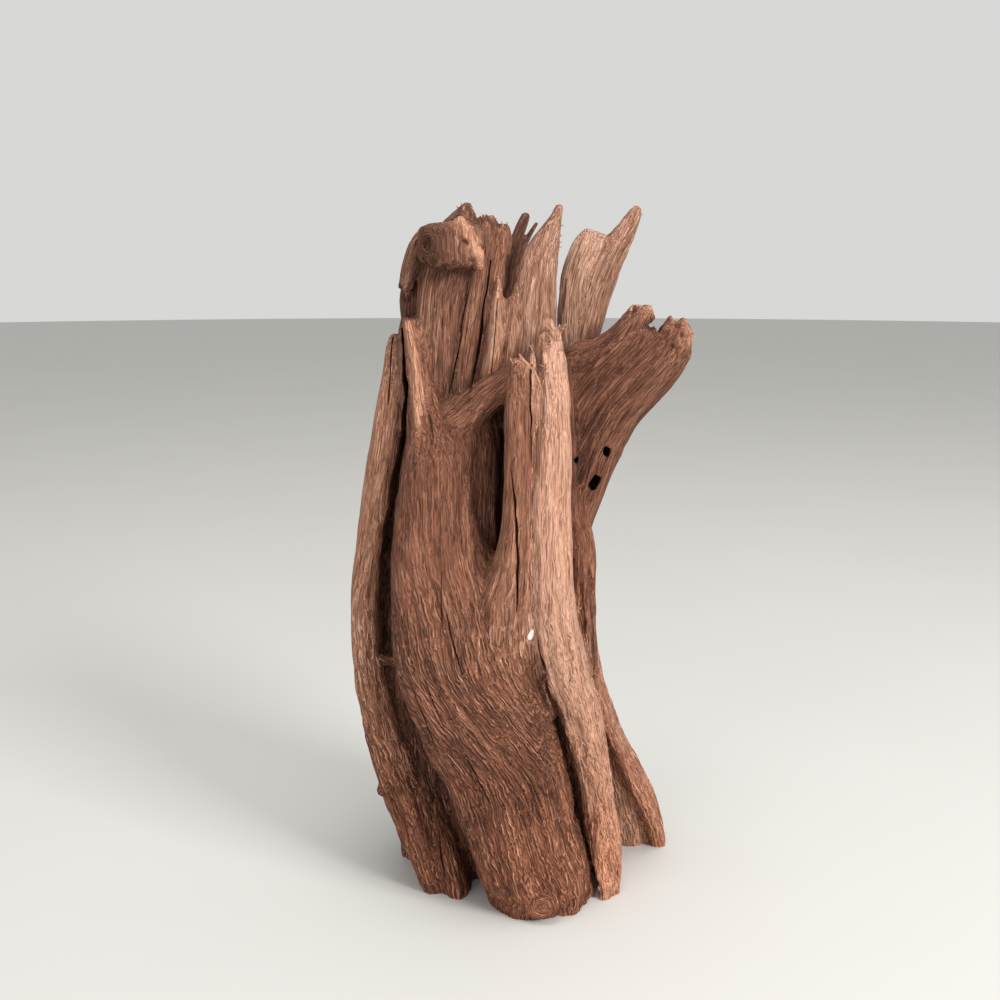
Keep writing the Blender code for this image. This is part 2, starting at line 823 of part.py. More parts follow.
def sweep(shape, stations, squareness=2.0, ridge=1.0, seed=0.0):
    """Adds a closed strand to shape, swept through its stations, with ridges along the grain."""
    rows = spaced(stations)
    sides = min(72, max(14, round(2 * math.pi * max(max(row[3], row[4]) for row in rows) / STEP)))
    rings = []
    for i, row in enumerate(rows):
        centre = Vector(row[:3])
        ahead = Vector(rows[min(i + 1, len(rows) - 1)][:3])
        behind = Vector(rows[max(i - 1, 0)][:3])
        along = (ahead - behind).normalized()
        across = (Vector((1, 0, 0)) - along * along.x).normalized()
        inward = along.cross(across)
        half_width, half_depth = max(row[3], 0.25), max(row[4], 0.25)
        ring = []
        reach = min(half_width, half_depth)
        for k in range(sides):
            turn = math.tau * k / sides
            c, s = math.cos(turn), math.sin(turn)
            out = (abs(c) ** squareness + abs(s) ** squareness) ** (-1 / squareness)
            spot = Vector((c * 2.2 + seed, s * 2.2, centre.z / 50))
            furrow = max(0, 1 - 5 * abs(noise.noise(spot * 1.7))) * min(FURROW / reach, 0.1)
            out *= 1 + ridge * (RIDGE * noise.noise(spot) - furrow)
            place = centre + across * (c * out * half_width) + inward * (s * out * half_depth)
            ring.append(shape.verts.new(place * UNIT))
        rings.append(ring)
    for low, high in zip(rings, rings[1:]):
        for k in range(sides):
            n = (k + 1) % sides
            shape.faces.new((low[k], low[n], high[n], high[k]))
    shape.faces.new(reversed(rings[0]))
    shape.faces.new(rings[-1])


def torn_tips(stations, count, draw):
    """Stations of the short slivers that a torn end leaves standing, spread over the strand's last section."""
    x, y, z, half_width, half_depth = stations[-1]
    way = (Vector(stations[-1][:3]) - Vector(stations[-2][:3])).normalized()
    across = (Vector((1, 0, 0)) - way * way.x).normalized()
    inward = way.cross(across)
    slivers = []
    for i in range(count):
        share = (i + 0.5) / count * 2 - 1
        root = Vector((x, y, z)) + across * (share * 0.8 * half_width)
        root += inward * (draw.uniform(-0.5, 0.5) * half_depth)
        width = max(0.55, 0.9 * half_width / count)
        depth = max(0.7, 0.35 * half_depth)
        reach = draw.uniform(0.9, 2.6)
        slivers.append(
            (
                (*(root - way * 3), width, depth),
                (*root, width, depth),
                (*(root + way * reach), 0.6 * width, 0.6 * depth),
                (*(root + way * (reach + 1.2)), 0.35, 0.35),
            )
        )
    return slivers


def grown_wood(collection):
    """All strands and torn slivers, grown together into one closed body."""
    draw = random.Random(7)
    shape = bmesh.new()
    for number, strand in enumerate(STRANDS.values()):
        style = dict(strand)
        stations = style.pop("stations")
        tips = style.pop("tips", 0)
        sweep(shape, stations, seed=number * 3.7, **style)
        for sliver in torn_tips(stations, tips, draw):
            sweep(shape, sliver, ridge=0)
    wood = new_object("driftwood", shape, collection)
    remesh = wood.modifiers.new("grow together", "REMESH")
    remesh.mode = "VOXEL"
    remesh.voxel_size = VOXEL
    apply_modifiers(wood)
    return wood


def blades(collection):
    """The cutters: a thin blade for each cleft and crack, and a bent oval rod for each worm hole."""
    for name, stations in CUTS.items():
        shape = bmesh.new()
        sweep(shape, stations, squareness=1.6, ridge=0)
        hide(new_object(name, shape, collection))
    for number, (mouth, inwards, half_width, half_height, depth) in enumerate(HOLES):
        shape = bmesh.new()
        bmesh.ops.create_cone(
            shape, cap_ends=True, segments=12, radius1=UNIT, radius2=UNIT * 0.8, depth=depth * UNIT
        )
        along = Vector(inwards).normalized()
        turned = along.to_track_quat("Z", "Y").to_matrix().to_4x4()
        size = Matrix.Diagonal((half_width, half_height, 1, 1))
        place = Matrix.Translation((Vector(mouth) + along * depth * 0.3) * UNIT)
        bmesh.ops.transform(shape, matrix=place @ turned @ size, verts=shape.verts)
        hide(new_object(f"worm_hole_{number}", shape, collection))


def new_object(name, shape, collection):
    """A mesh object made from a bmesh, with its faces pointing outwards."""
    bmesh.ops.recalc_face_normals(shape, faces=shape.faces)
    mesh = bpy.data.meshes.new(name)
    shape.to_mesh(mesh)
    shape.free()
    obj = bpy.data.objects.new(name, mesh)
    collection.objects.link(obj)
    return obj


def hide(obj):
    """Keeps a cutter out of the render."""
    obj.hide_render = True
    obj.display_type = "WIRE"


def apply_modifiers(obj):
    """Replaces an object's mesh by what its modifiers make of it."""
    bpy.context.view_layer.update()
    evaluated = obj.evaluated_get(bpy.context.evaluated_depsgraph_get())
    mesh = bpy.data.meshes.new_from_object(evaluated)
    obj.modifiers.clear()
    obj.data = mesh


def keep_largest(obj):
    """Drops loose scraps and sealed hollows: every shell but the one with the most faces."""
    shape = bmesh.new()
    shape.from_mesh(obj.data)
    shape.faces.ensure_lookup_table()
    left, shells = set(shape.faces), []
    while left:
        seed = left.pop()
        shell, front = {seed}, [seed]
        while front:
            face = front.pop()
            for edge in face.edges:
                for near in edge.link_faces:
                    if near in left:
                        left.discard(near)
                        shell.add(near)
                        front.append(near)
        shells.append(shell)
    shells.sort(key=len)
    for shell in shells[:-1]:
        bmesh.ops.delete(shape, geom=list(shell), context="FACES")
    shape.to_mesh(obj.data)
    shape.free()


def wear_smooth(obj):
    """Softens the seams between the strands below the crown, and leaves the splinters sharp."""
    worn = obj.vertex_groups.new(name="worn")
    for vertex in obj.data.vertices:
        weight = min(1, max(0, (CROWN_FOOT - vertex.co.z / UNIT) / 12))
        if weight > 0:
            worn.add([vertex.index], weight, "REPLACE")
    soften = obj.modifiers.new("worn smooth", "SMOOTH")
    soften.factor = 0.5
    soften.iterations = 5
    soften.vertex_group = "worn"
    apply_modifiers(obj)
    obj.vertex_groups.clear()


def drop_flaps(obj):
    """Drops the few single faces that thinning leaves hanging on an edge of the closed surface."""
    shape = bmesh.new()
    shape.from_mesh(obj.data)
    flaps = [face for face in shape.faces if any(edge.is_boundary for edge in face.edges)]
    while flaps:
        bmesh.ops.delete(shape, geom=flaps, context="FACES")
        flaps = [face for face in shape.faces if any(edge.is_boundary for edge in face.edges)]
    shape.to_mesh(obj.data)
    shape.free()


def saw_level(obj):
    """Cuts the feet off at ground height and closes the cut, so that the wood stands on flat faces."""
    shape = bmesh.new()
    shape.from_mesh(obj.data)
    geometry = [*shape.verts, *shape.edges, *shape.faces]
    cut = bmesh.ops.bisect_plane(
        shape, geom=geometry, plane_co=(0, 0, 0), plane_no=(0, 0, -1), clear_outer=True
    )
    rim = [e for e in cut["geom_cut"] if isinstance(e, bmesh.types.BMEdge)]
    bmesh.ops.holes_fill(shape, edges=rim, sides=0)
    bmesh.ops.triangulate(shape, faces=[f for f in shape.faces if len(f.verts) > 3])
    bmesh.ops.recalc_face_normals(shape, faces=shape.faces)
    shape.to_mesh(obj.data)
    shape.free()


def centre_on_origin(obj):
    """Moves the mesh sideways until its bounding box stands centred on the origin."""
    points = [vertex.co for vertex in obj.data.vertices]
    middle = [(min(p[i] for p in points) + max(p[i] for p in points)) / 2 for i in range(2)]
    obj.data.transform(Matrix.Translation((-middle[0], -middle[1], 0)))


def give_colour(obj):
    """The material of the wood."""
    material = bpy.data.materials.new("driftwood")
    material.use_nodes = True
    shader = material.node_tree.nodes["Principled BSDF"]
    shader.inputs["Base Color"].default_value = WOOD_COLOUR
    shader.inputs["Roughness"].default_value = WOOD_ROUGHNESS
    shader.inputs["Metallic"].default_value = 0.0
    obj.data.materials.clear()
    obj.data.materials.append(material)


def main():
    for obj in list(bpy.data.objects):
        bpy.data.objects.remove(obj)
    scene = bpy.context.scene
    sculpture = bpy.data.collections.new("driftwood sculpture")
    cutters = bpy.data.collections.new("cutters")
    scene.collection.children.link(sculpture)
    scene.collection.children.link(cutters)
    wood = grown_wood(sculpture)
    wear_smooth(wood)
    blades(cutters)
    for cutter in cutters.objects:
        cut = wood.modifiers.new(cutter.name, "BOOLEAN")
        cut.operation = "DIFFERENCE"
        cut.object = cutter
        cut.solver = "MANIFOLD"  # both are closed, and EXACT takes four times as long on this many faces
    apply_modifiers(wood)
    keep_largest(wood)
    thin = wood.modifiers.new("fewer faces", "DECIMATE")
    thin.ratio = TRIANGLES / (2 * len(wood.data.polygons))
    apply_modifiers(wood)
    drop_flaps(wood)
    saw_level(wood)
    centre_on_origin(wood)
    give_colour(wood)


main()
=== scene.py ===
"""Driftwood sculpture: the weathered wood that shows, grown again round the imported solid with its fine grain.

The solid's strands, clefts and worm holes are drawn here again in table units, 190 of them to its height.
Three things differ from the solid: the hidden boards have stronger ridges, the crown's right crack is
thinner, and the main worm hole slants. The strands are swept finely, grown together, cut, and given furrows
that follow each strand's own grain. Torn fibres, a pale chip, the floor, the lights and the camera follow.
"""

import math
import random
from contextlib import contextmanager

import bmesh
import bpy
import numpy as np
from mathutils import Matrix, Vector, noise
from mathutils.bvhtree import BVHTree
from mathutils.kdtree import KDTree


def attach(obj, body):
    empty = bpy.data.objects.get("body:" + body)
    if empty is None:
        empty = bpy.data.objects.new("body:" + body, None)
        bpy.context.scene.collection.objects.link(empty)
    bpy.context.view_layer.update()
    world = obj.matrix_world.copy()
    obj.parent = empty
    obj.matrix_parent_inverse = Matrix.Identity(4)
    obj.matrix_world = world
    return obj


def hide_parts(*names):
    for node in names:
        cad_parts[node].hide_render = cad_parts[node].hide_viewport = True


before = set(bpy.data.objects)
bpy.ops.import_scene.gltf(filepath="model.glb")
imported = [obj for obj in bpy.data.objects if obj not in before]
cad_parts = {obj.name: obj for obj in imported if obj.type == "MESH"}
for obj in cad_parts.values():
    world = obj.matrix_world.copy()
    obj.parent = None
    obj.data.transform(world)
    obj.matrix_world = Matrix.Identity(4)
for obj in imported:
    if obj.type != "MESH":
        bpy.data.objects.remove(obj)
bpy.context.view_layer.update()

UNIT = 0.001  # one table unit in metres

# Fineness of the visible wood, in table units.
STEP = 1.4  # along a strand and round it
FIRST_VOXEL = 0.55  # while the clefts are cut
VOXEL = 0.4  # while the grain is raised
MOST_TRIANGLES = 190000
RIDGE = 0.09  # height of a strand's own ridges, as a share of its radius
FURROW = 0.8  # depth of the furrows between them
THIN_CRACK = 0.6  # half width of the cracks that are cut again, sharply, once the grain is raised
SHORTEST_EDGE = 5e-4  # shorter ones are dissolved once the feet are sawn off
SHARPEST_TURN = math.radians(50)  # between two faces that are still shaded as one surface

# Colour of a strand against the wood's own: (lightness, greyness, redness).
PLAIN_TINT = (0.95, 0.15, 0.0)

STRANDS = {}


def grow(name, *stations, tips=0, **style):
    """Notes a strand of wood by its stations, from its root to its tip.

    A station is (x, y, z, half width, half depth): the middle of the strand there, and its half sizes.
    tips is the number of torn slivers at its end. style may hold its squareness (2 for an oval section and
    more for a board's), the share of its ridges, its tint and how its grain runs.
    """
    STRANDS[name] = stations, tips, style


# The broad shin in front, from its sawn foot up to the ledge under the crown.
grow(
    "shin",
    (4.6, -7, -2, 14.6, 13), (4.2, -8, 8, 15.6, 15), (1.4, -9.4, 17, 15.8, 16), (-2, -10.6, 28, 16, 16.5),
    (-5, -11.4, 39, 16.8, 17), (-8.6, -11.6, 51, 17.8, 17), (-12.6, -11.5, 62, 18.8, 17),
    (-15.4, -11, 73, 19.3, 17), (-17, -10.4, 82, 18.6, 16.5), (-19.4, -9.4, 91, 16.6, 16),
    (-21.6, -8.4, 100, 13.6, 15.6), (-22.2, -7.2, 110, 11.4, 15.2), (-22, -6.4, 120, 10.2, 15),
    (-22.2, -5.4, 129, 8.6, 13.6), (-24, -4.8, 138, 5.8, 11.6), (-26.6, -4.8, 147, 3.4, 9),
    (-28, -4.8, 155, 2.4, 7.6), (-28.8, -4.6, 160.5, 1.4, 6),
    squareness=2.5, tint=(0.97, 0.0, 0.1), run="leaning",
)
# The smooth slope that falls from the shin into the pocket.
grow(
    "pocket_slope",
    (-13, -3, 78, 9, 13), (-13.4, -3.4, 92, 8.2, 12.4), (-13.8, -3.6, 106, 7.8, 11.6),
    (-13.8, -4, 120, 7.8, 11.4), (-13.4, -5, 131, 7.6, 11.4), (-13.6, -6.6, 138, 6.4, 10),
    tint=(0.95, 0.03, 0.1),
)
grow(
    "brow",
    (-22.4, -7.6, 123, 7, 6), (-21.5, -8.8, 129.4, 6.8, 6.4), (-17.6, -10.8, 134.6, 6, 6),
    (-13.6, -12, 137.6, 5.2, 5.4), (-9.8, -13, 141, 4.6, 4.8), (-6, -13.8, 144.2, 4, 4.4),
    (-2, -14.4, 147.4, 3, 4), (1, -14.6, 149.6, 2, 3),
    tint=(1.05, 0.0, 0.05),
)
# The long slab on the left, held off the shin by a cleft.
grow(
    "slab",
    (-22.6, 1, -2, 4.6, 8.4), (-24.8, 0.6, 5, 5.2, 10.2), (-28.2, 1, 16, 6, 11.8), (-31.7, 2, 28, 7, 13),
    (-35.2, 3, 38, 6.4, 14), (-38.6, 4, 49, 5.5, 15), (-41, 4.5, 60, 4.7, 15.5), (-42.4, 4.5, 72, 4.3, 15.5),
    (-42.5, 4.5, 86, 3.9, 15.5), (-41, 4, 98, 4.2, 15), (-39.1, 3, 111, 4.4, 13.5), (-37.1, 2, 124, 4.3, 12),
    (-35.3, 1, 136, 3.8, 11), (-34, 1, 146, 3, 9.5), (-33.8, 1, 153, 2, 7.5), (-33.6, 1, 156.4, 1.3, 5),
    squareness=4, tint=(1.48, 0.03, 0.05),
)
grow(
    "slab_toe",
    (-18, -1.4, -2, 4.4, 9.8), (-19.4, -1.2, 6, 4.2, 9.6), (-22, -0.4, 15, 3.8, 9.4),
    (-25, 0.6, 24, 3.4, 8.4), (-28, 1, 32, 2.6, 7),
    squareness=2.6, tint=(1.05, 0.0, 0.12),
)
grow(
    "slab_knot",
    (-34, -6.6, 36.6, 1.8, 2.6), (-36.6, -7.4, 33.6, 2.4, 3), (-38.6, -7.8, 31.6, 2, 2.6),
    (-39.6, -8, 30.6, 1.3, 1.8),
    ridge=2.4, tint=(1.2, 0.05, 0.05),
)
# The recessed grain between the slab and the shin, and the small bridge that crosses the cleft.
grow(
    "inner_left",
    (-20, 4, 4, 6, 9), (-24.4, 2.6, 18, 7, 10), (-29, 2, 34, 7.4, 11), (-33, 4.6, 52, 7, 10),
    (-35.4, 8, 70, 6.4, 8.6), (-36, 10, 96, 6.2, 7.6), (-33.4, 8.6, 122, 6, 6.6), (-31, 6.4, 144, 5, 6.4),
    ridge=1.6, tint=(0.85, 0.15, 0.0),
)
grow(
    "bridge",
    (-43, -6, 70.6, 1.5, 2.6), (-38, -7.6, 69.4, 1.2, 2), (-32, -8, 68.4, 1.6, 2.6),
    tint=(0.95, 0.0, 0.0),
)
# The heart of the stump, which the outer strands grow on.
grow(
    "heart",
    (2, 9, 3, 22, 13), (0, 8, 16, 25, 15), (-5, 7, 34, 27, 16), (-9, 6, 54, 28, 16.5), (-11, 5, 74, 27, 16.5),
    (-10, 5, 92, 25, 13), (-9, 4.6, 108, 21, 9.6), (-8, 3.8, 124, 16, 7), (-8, 3, 132, 10, 4),
    squareness=2.2, tint=(0.85, 0.1, 0.0),
)
# The narrow spine right of the pocket, the column beside it, and the wood that fills the groove between.
grow(
    "spine",
    (-5, -13, 66, 8.6, 8), (-5.6, -16, 77, 8.2, 9), (-5.8, -18, 86, 7.2, 9), (-5.2, -19, 91.6, 6.3, 9),
    (-3.7, -19.8, 98, 4.7, 8.6), (-2.8, -20.4, 107, 3.5, 8), (-2.2, -20.4, 117, 3.3, 7.4),
    (-1.7, -20, 129, 3.5, 6.8), (-1.7, -19.4, 139, 3.6, 6.2), (-1.5, -18.8, 146, 2.8, 5),
    (-1.2, -18.4, 150, 2.1, 3.6),
    squareness=2.4, tips=3, tint=(1.2, 0.0, 0.1),
)
grow(
    "spine_filler",
    (2, -7, 58, 5, 8), (0.6, -11.4, 74, 6.6, 9.4), (0.4, -14.4, 90, 6, 10), (0.8, -15.4, 106, 4.4, 9.4),
    (1, -15, 122, 3.8, 8.8), (1.2, -14.4, 136, 3.6, 8), (1.6, -12, 148, 3.4, 6),
    tint=(1.45, 0.0, 0.05),
)
grow(
    "column",
    (24.6, 2, -2, 3.4, 6.6), (24.8, 0.6, 6, 4.2, 8), (23.6, -1.4, 14, 4.9, 8.6), (21.8, -3.4, 24, 4.9, 8.6),
    (20.4, -5, 33, 4.8, 8.6), (18.6, -7, 42, 5.2, 8.8), (16.4, -9, 52, 5.8, 9), (13.8, -11.4, 61, 6.3, 9.6),
    (11, -13.6, 70, 6.6, 10), (8.8, -15.4, 79, 6.5, 10), (7.4, -16.4, 88, 6.5, 10),
    (6.6, -16.8, 98, 6.3, 9.6), (6.2, -16.8, 110, 6, 9), (6.4, -16.8, 122, 5.7, 8.6),
    (6.8, -16.2, 133, 5.2, 8), (6.8, -15, 143, 4.6, 6.8), (6.8, -13.2, 151, 3.7, 5),
    (6.6, -11.8, 156.4, 2.6, 3.4),
    squareness=2.6, tips=5, tint=(1.78, 0.0, 0.06),
)
# The torn splinters that stand on the column's face and rise past its top.
grow(
    "column_splinter_left",
    (2.6, -20.6, 134, 1.4, 2), (2.4, -20.4, 143, 1.3, 1.8), (2.2, -19.6, 149.6, 0.9, 1.4),
    (2.3, -18.8, 153.4, 0.45, 0.6),
    ridge=0, tint=(1.8, 0.0, 0.0),
)
grow(
    "column_splinter_middle",
    (5.6, -22.4, 126, 1.6, 2.4), (6, -21.8, 137, 1.5, 2.2), (5.6, -20, 147, 1.2, 1.8),
    (5, -18.2, 154, 0.8, 1.2), (4.8, -17.4, 158, 0.4, 0.5),
    ridge=0, tint=(1.85, 0.0, 0.0),
)
grow(
    "column_splinter_right",
    (9.8, -19.4, 128, 1.7, 2.4), (10, -18.8, 138, 1.5, 2.2), (9.4, -17, 148, 1.2, 1.8),
    (8.7, -15.2, 156, 0.8, 1.1), (8.9, -14.4, 160, 0.4, 0.5),
    ridge=0, tint=(1.8, 0.0, 0.0),
)
grow(
    "column_splinter_high",
    (7.7, -20, 138, 1.2, 1.8), (7.7, -18, 149, 1.1, 1.6), (7.1, -16, 157, 0.8, 1.1),
    (6.5, -15.2, 161.6, 0.4, 0.5),
    ridge=0, tint=(1.85, 0.0, 0.0),
)
# The gnarled ridge down the column's foot.
grow(
    "foot_gnarl",
    (20.4, -8.6, 32, 2.2, 2.6), (21.8, -9.6, 26, 3, 3.4), (23.2, -8.8, 19, 2.4, 3),
    (24.4, -8.4, 12, 3.1, 3.6), (25.4, -7.2, 5, 2.6, 3), (25.6, -6, -2, 2.4, 3),
    ridge=2.4, tint=(1.65, 0.0, 0.1),
)
grow(
    "foot_gnarl_left",
    (19.8, -8.4, 38, 1.6, 2.2), (20.6, -9.2, 29, 2, 2.8), (21, -9.4, 21, 2.1, 3), (21.4, -9.4, 13, 2.1, 3),
    (22.2, -9.2, 6, 2.7, 3.4), (22.6, -8.6, 1, 2.6, 3.4), (22.6, -8, -2, 2.4, 3.2),
    ridge=2.4, tint=(1.6, 0.0, 0.12),
)
# The side of the column, the rough strip under the branch, and the root fin that it runs down into.
grow(
    "column_side",
    (17, 3, 30, 7, 10), (15.2, 1.6, 46, 7, 9.6), (13, 0.2, 62, 6.8, 9.4), (11, -1.6, 80, 6.2, 9),
    (10, -2, 98, 5.4, 8.4), (9.6, -2, 116, 4.8, 8), (9.4, -2, 134, 4.6, 7.4), (8.8, -2.4, 150, 4, 5.6),
    tint=(0.95, 0.0, 0.1),
)
grow(
    "strip",
    (18.6, 1.6, 56, 3.4, 8.8), (17.6, 0, 68, 3.6, 8.6), (16.6, -2, 80, 4, 8.4), (16, -2.8, 92, 4.4, 8.4),
    (15.6, -2.6, 100, 4.2, 8.2), (14.2, -0.8, 107, 3.8, 7.8), (14.4, 1, 115, 4.4, 7),
    ridge=2.4, tint=(0.95, 0.0, 0.15),
)
grow(
    "fin",
    (42.6, 27, -2, 3, 7), (41.5, 24, 6, 2.6, 7.5), (37.6, 19, 18, 2.1, 8.4), (32, 14.4, 30, 1.8, 9),
    (27, 10.6, 42, 1.8, 9.4), (22.6, 7.4, 54, 2.1, 9.8), (19.4, 5.4, 65, 2.8, 10), (16.6, 4, 76, 4, 9),
    squareness=2.8, tint=(1.45, 0.05, 0.1),
)
grow(
    "heel",
    (33, 26, -2, 8.6, 6), (30.6, 22.6, 10, 8, 7.4), (26.6, 18, 24, 7.6, 8.2), (22.4, 13.6, 38, 7.4, 8.6),
    (18.4, 10.4, 52, 7.2, 9), (14.4, 7.8, 68, 7, 9.6), (12.6, 7, 84, 7, 9.4), (12, 6.4, 100, 6.4, 8.6),
    ridge=1.6, tint=(1.7, 0.25, 0.0),
)
# The branch stub on the right: a fan of grain that gathers into a broken end with a notch in it.
grow(
    "branch_low",
    (12.4, 4, 96, 5, 7.6), (14.6, 3.4, 107, 5.2, 7.6), (18, 2.4, 117, 5.6, 7.4), (21.4, 1.4, 127, 6, 7),
    (25.4, 0.4, 135.4, 6, 6.6), (31.4, -0.6, 142.4, 5.8, 6.2), (36.8, -1.4, 148.2, 5.2, 5.8),
    (40.2, -1.8, 152.4, 4.4, 5), (41.8, -1.8, 154.8, 3.2, 4),
    squareness=2.2, tint=(1.02, 0.03, 0.05),
)
grow(
    "branch_middle",
    (11.6, 4, 110, 6, 7), (14, 3, 121, 6.6, 7), (18, 2, 131, 6.8, 6.6), (23.2, 1, 140, 6.6, 6.2),
    (29.4, 0, 147.6, 6.2, 6), (35.4, -0.8, 153.6, 5.2, 5.6), (38.8, -1.2, 157.2, 3.8, 4.6),
    (40, -1.2, 158.6, 2.6, 3.6),
    squareness=2.2, tint=(0.92, 0.03, 0.05),
)
grow(
    "branch_web",
    (9.6, 3.4, 112, 5, 6), (12.4, 2.4, 126, 8, 6.6), (16, 1.6, 137, 9.6, 6.4), (21, 0.8, 144.6, 9, 6.2),
    (26.4, 0, 150.6, 7.2, 5.8), (30.4, -0.6, 155, 5.2, 5.2), (32.6, -0.8, 158, 3.4, 4.2),
    ridge=0.8, tint=(0.9, 0.03, 0.05),
)
grow(
    "branch_high",
    (9.6, 3, 128, 6, 6.6), (12.4, 2.6, 139, 6.4, 6.4), (17, 2, 147.2, 6, 6), (22.6, 1.2, 151.4, 5, 5.6),
    (27, 0.4, 156, 4.2, 5.2), (29.8, -0.2, 160.6, 3.5, 4.4), (31, -0.4, 163, 2.6, 3.4),
    squareness=2.2, tint=(1.05, 0.03, 0.05),
)
grow(
    "branch_shoulder",
    (8, 4, 134, 5, 6), (10.4, 3, 144, 5, 5.6), (14.4, 2, 149.6, 4.2, 5.2), (19.4, 1.4, 151.8, 3.6, 4.8),
    (24, 0.8, 154.6, 3.2, 4.4),
    tint=(1.0, 0.0, 0.1),
)
# The lumps along its broken end.
grow(
    "branch_knob",
    (37.4, -1.6, 157, 2.2, 3), (39.2, -2, 159.2, 2.4, 3.4), (41.4, -1.8, 158, 2.4, 3.4),
    (42.8, -1.6, 155, 2, 3.2), (42.8, -1.4, 152, 1.6, 2.6),
    ridge=2.4, tint=(1.35, 0.0, 0.12),
)
grow(
    "branch_horn",
    (27.6, -0.8, 160, 1.9, 2.6), (29.8, -1, 163, 1.9, 2.6), (32.2, -1, 162.4, 1.8, 2.6),
    (33.6, -0.8, 160, 1.4, 2.2),
    ridge=2.4, tint=(1.4, 0.0, 0.1),
)
# The crown on the left: boards that lean together, each a little behind the next.
grow(
    "crown_shell",
    (-28, -2, 128, 4.6, 10), (-29, -2.4, 142, 4, 9.6), (-29.8, -2.4, 152, 3.2, 8.4),
    (-30, -2.2, 158, 2.4, 7.4), (-29.8, -2, 161, 1.7, 6.4),
    squareness=2.4,
)
# The raised lip that the shin runs up into, beside the boards.
grow(
    "lip",
    (-29.4, -9.6, 160.6, 1.1, 2.2), (-28.4, -10.6, 155.6, 1.5, 3), (-27.5, -11.2, 150.7, 1.8, 3.4),
    (-26.9, -11.8, 145.7, 2.1, 3.6), (-26.3, -12.4, 140.7, 2.5, 4), (-25.4, -12.8, 134.6, 3.2, 4.6),
    (-24.4, -12.8, 126, 3.6, 5),
    tint=(1.7, 0.0, 0.2),
)
grow(
    "burl",
    (-30.6, -2.4, 168.4, 2, 5.4), (-29.6, -2.6, 171.6, 2.5, 6.6), (-28, -2.4, 175.4, 2.8, 7),
    (-26.2, -1.6, 178.6, 3.2, 6.6), (-23.6, -0.6, 182, 3.2, 5),
    squareness=2.6, tint=(1.15, 0.12, 0.0),
)
grow(
    "burl_chin",
    (-28.8, 1.8, 154, 3.2, 6), (-28.9, 1.6, 160, 3.5, 5.8), (-29, 1.6, 166, 3.5, 5.6),
    (-28.2, 1.8, 171, 3.2, 5),
    squareness=3, tint=(0.95, 0.3, 0.0),
)
grow(
    "crown_board",
    (-23.4, -2.6, 132, 5, 7.4), (-22.8, -4.4, 144, 5.4, 7), (-22.2, -5.2, 155, 5.7, 6.4),
    (-21.4, -4.6, 165, 6.1, 5.6), (-19.4, -3.4, 174, 6.4, 5.4), (-16.8, -2.8, 182, 4.8, 5.2),
    (-14.9, -2.2, 187, 2.7, 3.8), (-14.2, -1.6, 189.8, 1, 1.8),
    squareness=3.6, ridge=0.4, tint=(1.02, 0.12, 0.0),
)
grow(
    "crown_middle",
    (-17.6, -1, 130, 4, 7), (-15.6, -3.4, 144, 3, 6.6), (-13.4, -3.8, 157, 2.8, 6.2),
    (-11.6, -3, 169, 3.1, 6), (-10.4, -1.8, 178, 3.1, 5), (-9.6, -1.2, 184, 2.7, 4),
    (-9.4, -1, 186.6, 1.6, 2.8),
    squareness=3, ridge=0.6, tint=(1.08, 0.06, 0.05),
)
grow(
    "crown_right",
    (-12.8, 0, 134, 3.2, 6), (-11, -1.6, 147, 2.8, 6), (-9.2, -1.8, 159, 2.8, 6), (-7.6, -0.8, 169, 3.2, 5.4),
    (-6.4, 0, 176.6, 3.2, 4.8), (-5.4, 0.4, 181.6, 2.7, 3.8), (-5.5, 0.4, 184.8, 1.7, 2.6),
    squareness=3, ridge=0.6, tint=(1.12, 0.06, 0.05),
)
grow(
    "crown_back",
    (-20, 5, 128, 9, 6), (-19.6, 4.4, 146, 9.6, 5), (-18.6, 4, 162, 9.6, 4.4), (-17, 3.4, 174, 8, 4),
    (-15, 2.4, 182, 5, 3),
    squareness=2.4,
)
grow(
    "sliver_front",
    (-10.4, -6.4, 139, 2.2, 3.4), (-8.6, -7.8, 147, 2.4, 3.2), (-7.2, -8.4, 154, 2.3, 3),
    (-6.8, -8.2, 161, 1.9, 2.6), (-6.6, -7.6, 167, 1.3, 2), (-6.5, -7, 171.4, 0.5, 0.8),
    tint=(1.8, 0.0, 0.05),
)
grow(
    "sliver_gap",
    (-4.6, -5.6, 140, 2.6, 3.6), (-3.4, -7.2, 152, 2.4, 3.4), (-2.8, -7.6, 160, 2.1, 3),
    (-2.6, -7, 166.4, 1.5, 2.2),
    tips=2, tint=(1.35, 0.05, 0.0),
)
# The broken knot at the top left, which juts forward over the boards.
grow(
    "knot_stub",
    (-13.4, -3.6, 178.9, 4.8, 5), (-14.8, -6, 179, 5.3, 5.5), (-17.4, -8.8, 179.1, 5.7, 5.8),
    (-20.6, -11.6, 179.3, 5.3, 5.5), (-22.6, -13.4, 179.4, 4.7, 5), (-23.5, -14.4, 179.4, 4, 4.3),
    squareness=5, ridge=0.5, tint=(0.99, 0.12, 0.02), run="upright",
)
grow(
    "knot_eye",
    (-20.6, -12.6, 179.3, 3.6, 4), (-23.6, -15, 179.4, 3.4, 3.8), (-24.1, -15.5, 179.4, 3, 3.4),
    ridge=0.8, tint=(0.66, 0.05, 0.1), run="ringed",
)
grow(
    "knot_torn",
    (-16.4, -11.4, 185.6, 1.2, 2), (-14.8, -12.6, 182.6, 1.8, 2.6), (-13, -12, 179.4, 2, 2.8),
    (-11.6, -11, 176.4, 1.9, 2.6), (-11.2, -10, 173.2, 1.1, 1.8),
    ridge=2.4, tint=(1.9, 0.0, 0.25), run="upright",
)
